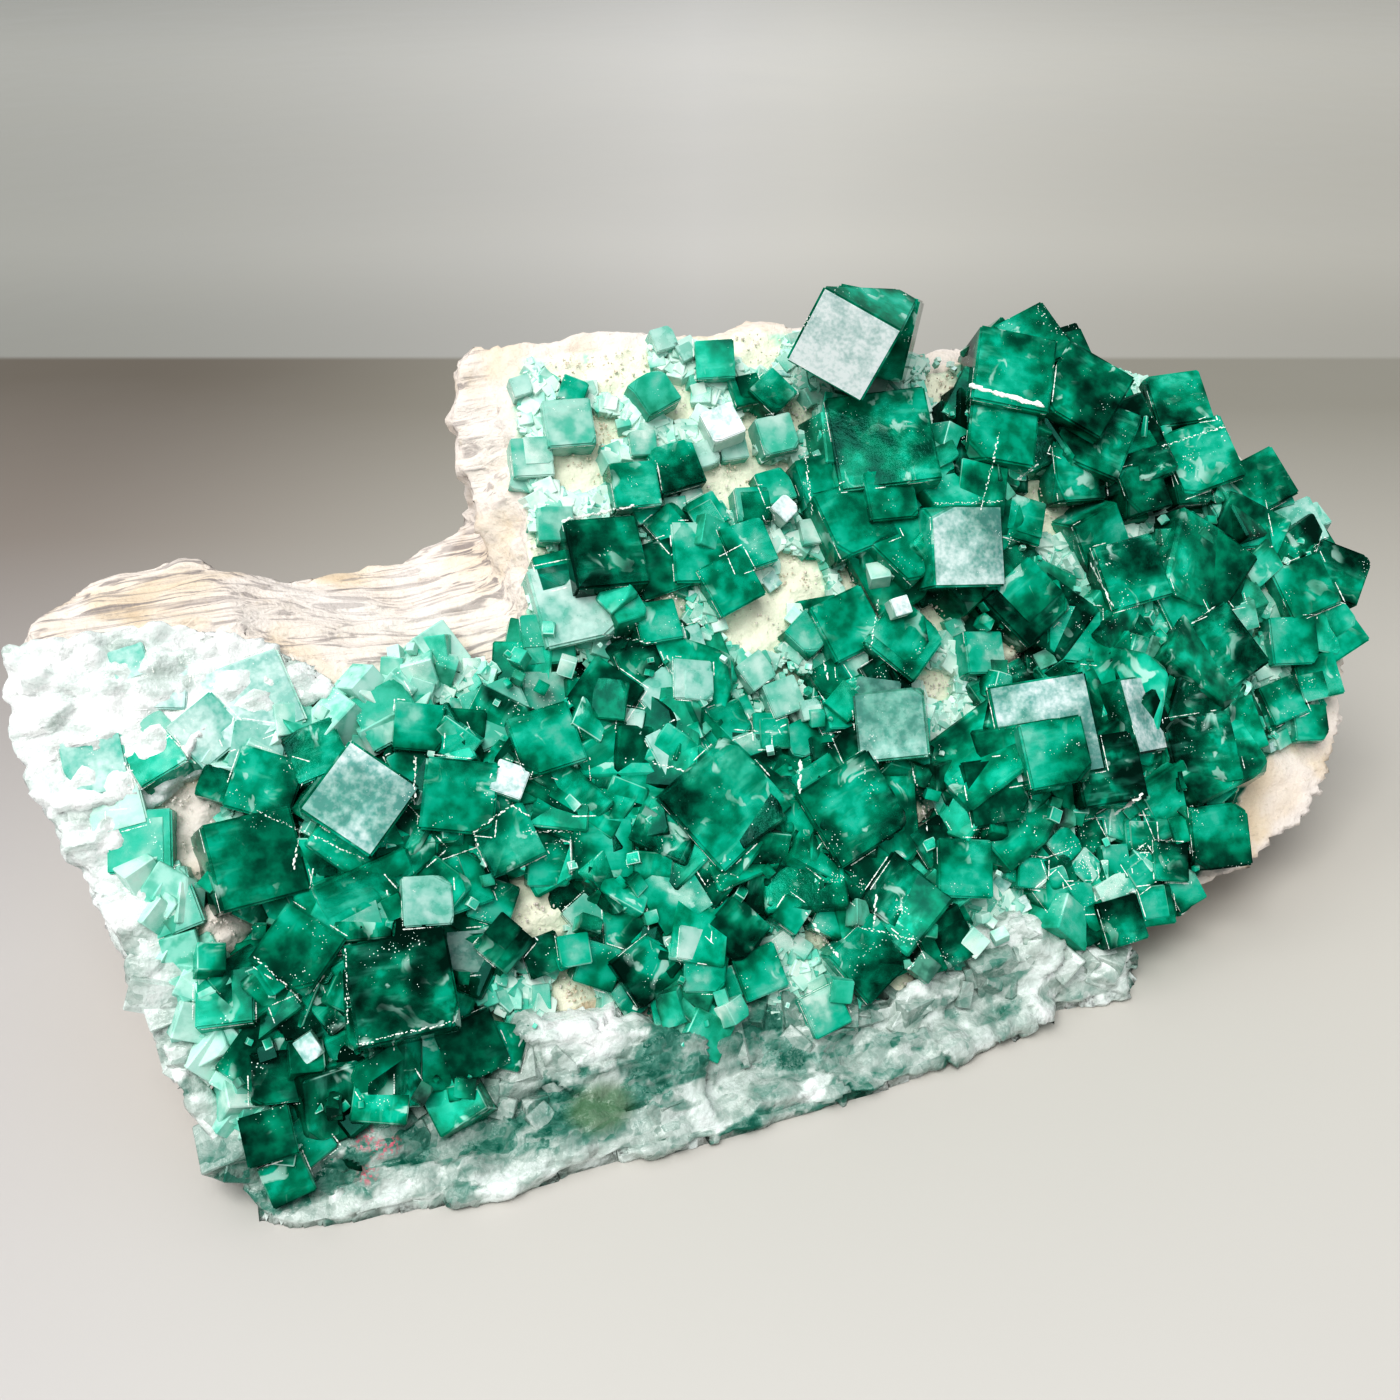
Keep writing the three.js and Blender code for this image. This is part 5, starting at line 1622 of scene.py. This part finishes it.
# %% Lime in the creases
OUTSIDE = 0.35  # how far outside the face the line of sight passes
CREASE = (-0.5, 3.5)  # how far behind the face a neighbour may lie
LEFT_OUT = 0.08  # noise below this leaves the crease clean
for row in BIG_ROWS:
    half = row[2] / 2
    basis = turned(row)
    face_middle = towards_eye(row[0], row[1], row[6])
    for side in range(4):
        out = Vector((math.cos(side * math.pi / 2), math.sin(side * math.pi / 2), 0))
        run = Vector((-out.y, out.x, 0))
        for step in np.arange(-half, half, 0.5):
            point = face_middle + basis @ (out * (half + OUTSIDE) + run * float(step))
            if noise.noise(point * 0.2) < LEFT_OUT:
                continue
            spot = met(point)
            if spot and CREASE[0] < spot[2] < CREASE[1]:
                lay_grain(spot, grain_draw.uniform(0.08, 0.22), basis @ run, 2.4)
lime_white, tree, shader, _ = new_material("white_lime")
tint = grain(tree, work_place(tree), 0.5, 3)
lime_tones = [(0.35, (0.86, 0.89, 0.86)), (0.65, (0.84, 0.85, 0.78))]
plug(tree, shader, "Base Color", ramp(tree, tint, lime_tones))
plug(tree, shader, "Roughness", 0.7)
seams = new_piece("lime_seams", np.concatenate(grain_points), crumb_faces(len(grain_points)), lime_white)

# %% [markdown]
# The solids that the new pieces stand in for are hidden here, and every new piece rides on the
# one body.

# %% Joining the frame
CRYSTAL_NODES = [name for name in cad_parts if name.startswith(("crystal", "lone"))]
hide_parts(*CRYSTAL_NODES)
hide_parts("matrix_rock")
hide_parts("massive_fluorite")
for piece in ALL_CRYSTALS:
    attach(piece, "root")
STONES = (
    (rock, "matrix"), (lime, "matrix"), (seams, "matrix"),
    (rim, "pale_fluorite"), (blocks, "pale_fluorite"),
)
for piece, slot in STONES:
    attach(piece, "root")
print("solids that the pieces stand in for:", len(CRYSTAL_NODES) + 2)

# %% [markdown]
# The specimen stands on a plain pale table with a grey wall behind it. A second sheet for the wall
# would throw light about and show from other sides, so table and wall are one flat floor, and the
# wall's grey is painted on its far part. Light and shade are painted on both: the table is lighter at
# the near right and darker towards the far left, as under the one large lamp, and the wall is
# darker at its foot and at its sides.

# %% The floor
FLOOR_HALF = 4.0
TABLE_DEPTH = 0.689  # from the camera to the table's far edge
# painted light and shade: the table's tones fall off from the near right to the far left, and the wall's
# are lighter in the middle than at its sides
LEFT_TONES = [
    (0.20, (0.46, 0.44, 0.45)),
    (0.36, (0.45, 0.43, 0.43)),
    (0.70, (0.235, 0.205, 0.18)),
    (0.96, (0.145, 0.125, 0.10)),
]
RIGHT_TONES = [
    (0.20, (0.55, 0.53, 0.50)),
    (0.36, (0.53, 0.51, 0.47)),
    (0.55, (0.47, 0.45, 0.41)),
    (0.90, (0.28, 0.265, 0.225)),
]
WALL_TONES = [
    (0.0, (0.335, 0.33, 0.30)),
    (0.5, (0.52, 0.505, 0.475)),
    (0.62, (0.52, 0.505, 0.465)),
    (1.0, (0.43, 0.415, 0.37)),
]
material, tree, shader, _ = new_material("pale_table")
floor_place = add_node(tree, "ShaderNodeTexCoord").outputs["Object"]
turned_floor = drawn_out(tree, floor_place, (0, 0, CAMERA_YAW), None)
ahead = add_node(tree, "ShaderNodeSeparateXYZ", [turned_floor]).outputs
beyond = fade(tree, ahead[1], TABLE_DEPTH - 0.004, TABLE_DEPTH + 0.004)
reach = maths(tree, "DIVIDE", ahead[1], TABLE_DEPTH)
left_half = ramp(tree, reach, LEFT_TONES)
right_half = ramp(tree, reach, RIGHT_TONES)
table = mixed(tree, fade(tree, ahead[0], -0.28, -0.02), left_half, right_half)
aside = maths(tree, "DIVIDE", ahead[0], maths(tree, "ADD", ahead[1], 0.14))
wall = ramp(tree, fade(tree, aside, -0.45, 0.45), WALL_TONES)
# painted shade: the wall is darker at its foot and lighter further up
painted_wall_light = fade(tree, ahead[1], TABLE_DEPTH, TABLE_DEPTH + 0.25, 0.84, 1.05)
painted_wall_light = maths(tree, "ADD", painted_wall_light, fade(tree, ahead[1], TABLE_DEPTH + 0.25, 1.9, 0.0, 0.32))
wall = vectors(tree, "SCALE", wall, scale=painted_wall_light)
mottle = grain(tree, floor_place, 9.0, 3)
plug(tree, shader, "Base Color", mixed(tree, beyond, table, wall))
plug(tree, shader, "Roughness", fade(tree, mottle, 0.3, 0.7, 0.55, 0.7))
floor_mesh = bpy.data.meshes.new("floor")
SQUARE = ((-1, -1), (1, -1), (1, 1), (-1, 1))
floor_mesh.from_pydata([(x * FLOOR_HALF, y * FLOOR_HALF, 0) for x, y in SQUARE], [], [(0, 1, 2, 3)])
floor_mesh.materials.append(material)
floor = bpy.data.objects.new("floor", floor_mesh)
floor.location = (camera.location.x, camera.location.y, 0)
bpy.context.collection.objects.link(floor)
print("floor, m:", 2 * FLOOR_HALF, "table's edge at, m:", TABLE_DEPTH)

# %% [markdown]
# The light in the picture is soft and bright, from one large window or lamp high at the front left.
# A weaker one at the left, a little behind, lifts the shaded sides of the cubes, and a plain bright
# room fills the rest. None stands where a silvery face would mirror it into the eye.

# %% The lights
ROOM_COLOUR = (0.93, 0.96, 1.0, 1)
ROOM_LIGHT = 0.45
world = bpy.data.worlds.new("room")
world.use_nodes = True
world.node_tree.nodes["Background"].inputs[0].default_value = ROOM_COLOUR
world.node_tree.nodes["Background"].inputs[1].default_value = ROOM_LIGHT
bpy.context.scene.world = world
SUBJECT = Vector(metres([on_face(125, 80)])[0])
LAMP_FAR = 3.0
LAMP_SIZE = 2.0


def softbox(name, azimuth, elevation, power, colour=(1, 1, 1)):
    """A square lamp facing the specimen. azimuth 0 is in front of it and 90 at its right."""
    data = bpy.data.lights.new(name, "AREA")
    data.size = LAMP_SIZE
    data.energy = power
    data.color = colour
    lamp = bpy.data.objects.new(name, data)
    bpy.context.collection.objects.link(lamp)
    a, e = math.radians(azimuth), math.radians(elevation)
    way = Vector((math.sin(a) * math.cos(e), -math.cos(a) * math.cos(e), math.sin(e)))
    lamp.location = SUBJECT + way * LAMP_FAR
    lamp.rotation_euler = (-way).to_track_quat("-Z", "Y").to_euler()
    print(name, "watts:", power)


softbox("left_lamp", -44, 60, 62.0, (1.0, 0.99, 0.97))
softbox("side_lamp", -112, 55, 12.0)
bpy.context.scene.view_settings.view_transform = "Standard"
bpy.context.scene.view_settings.look = "High Contrast"
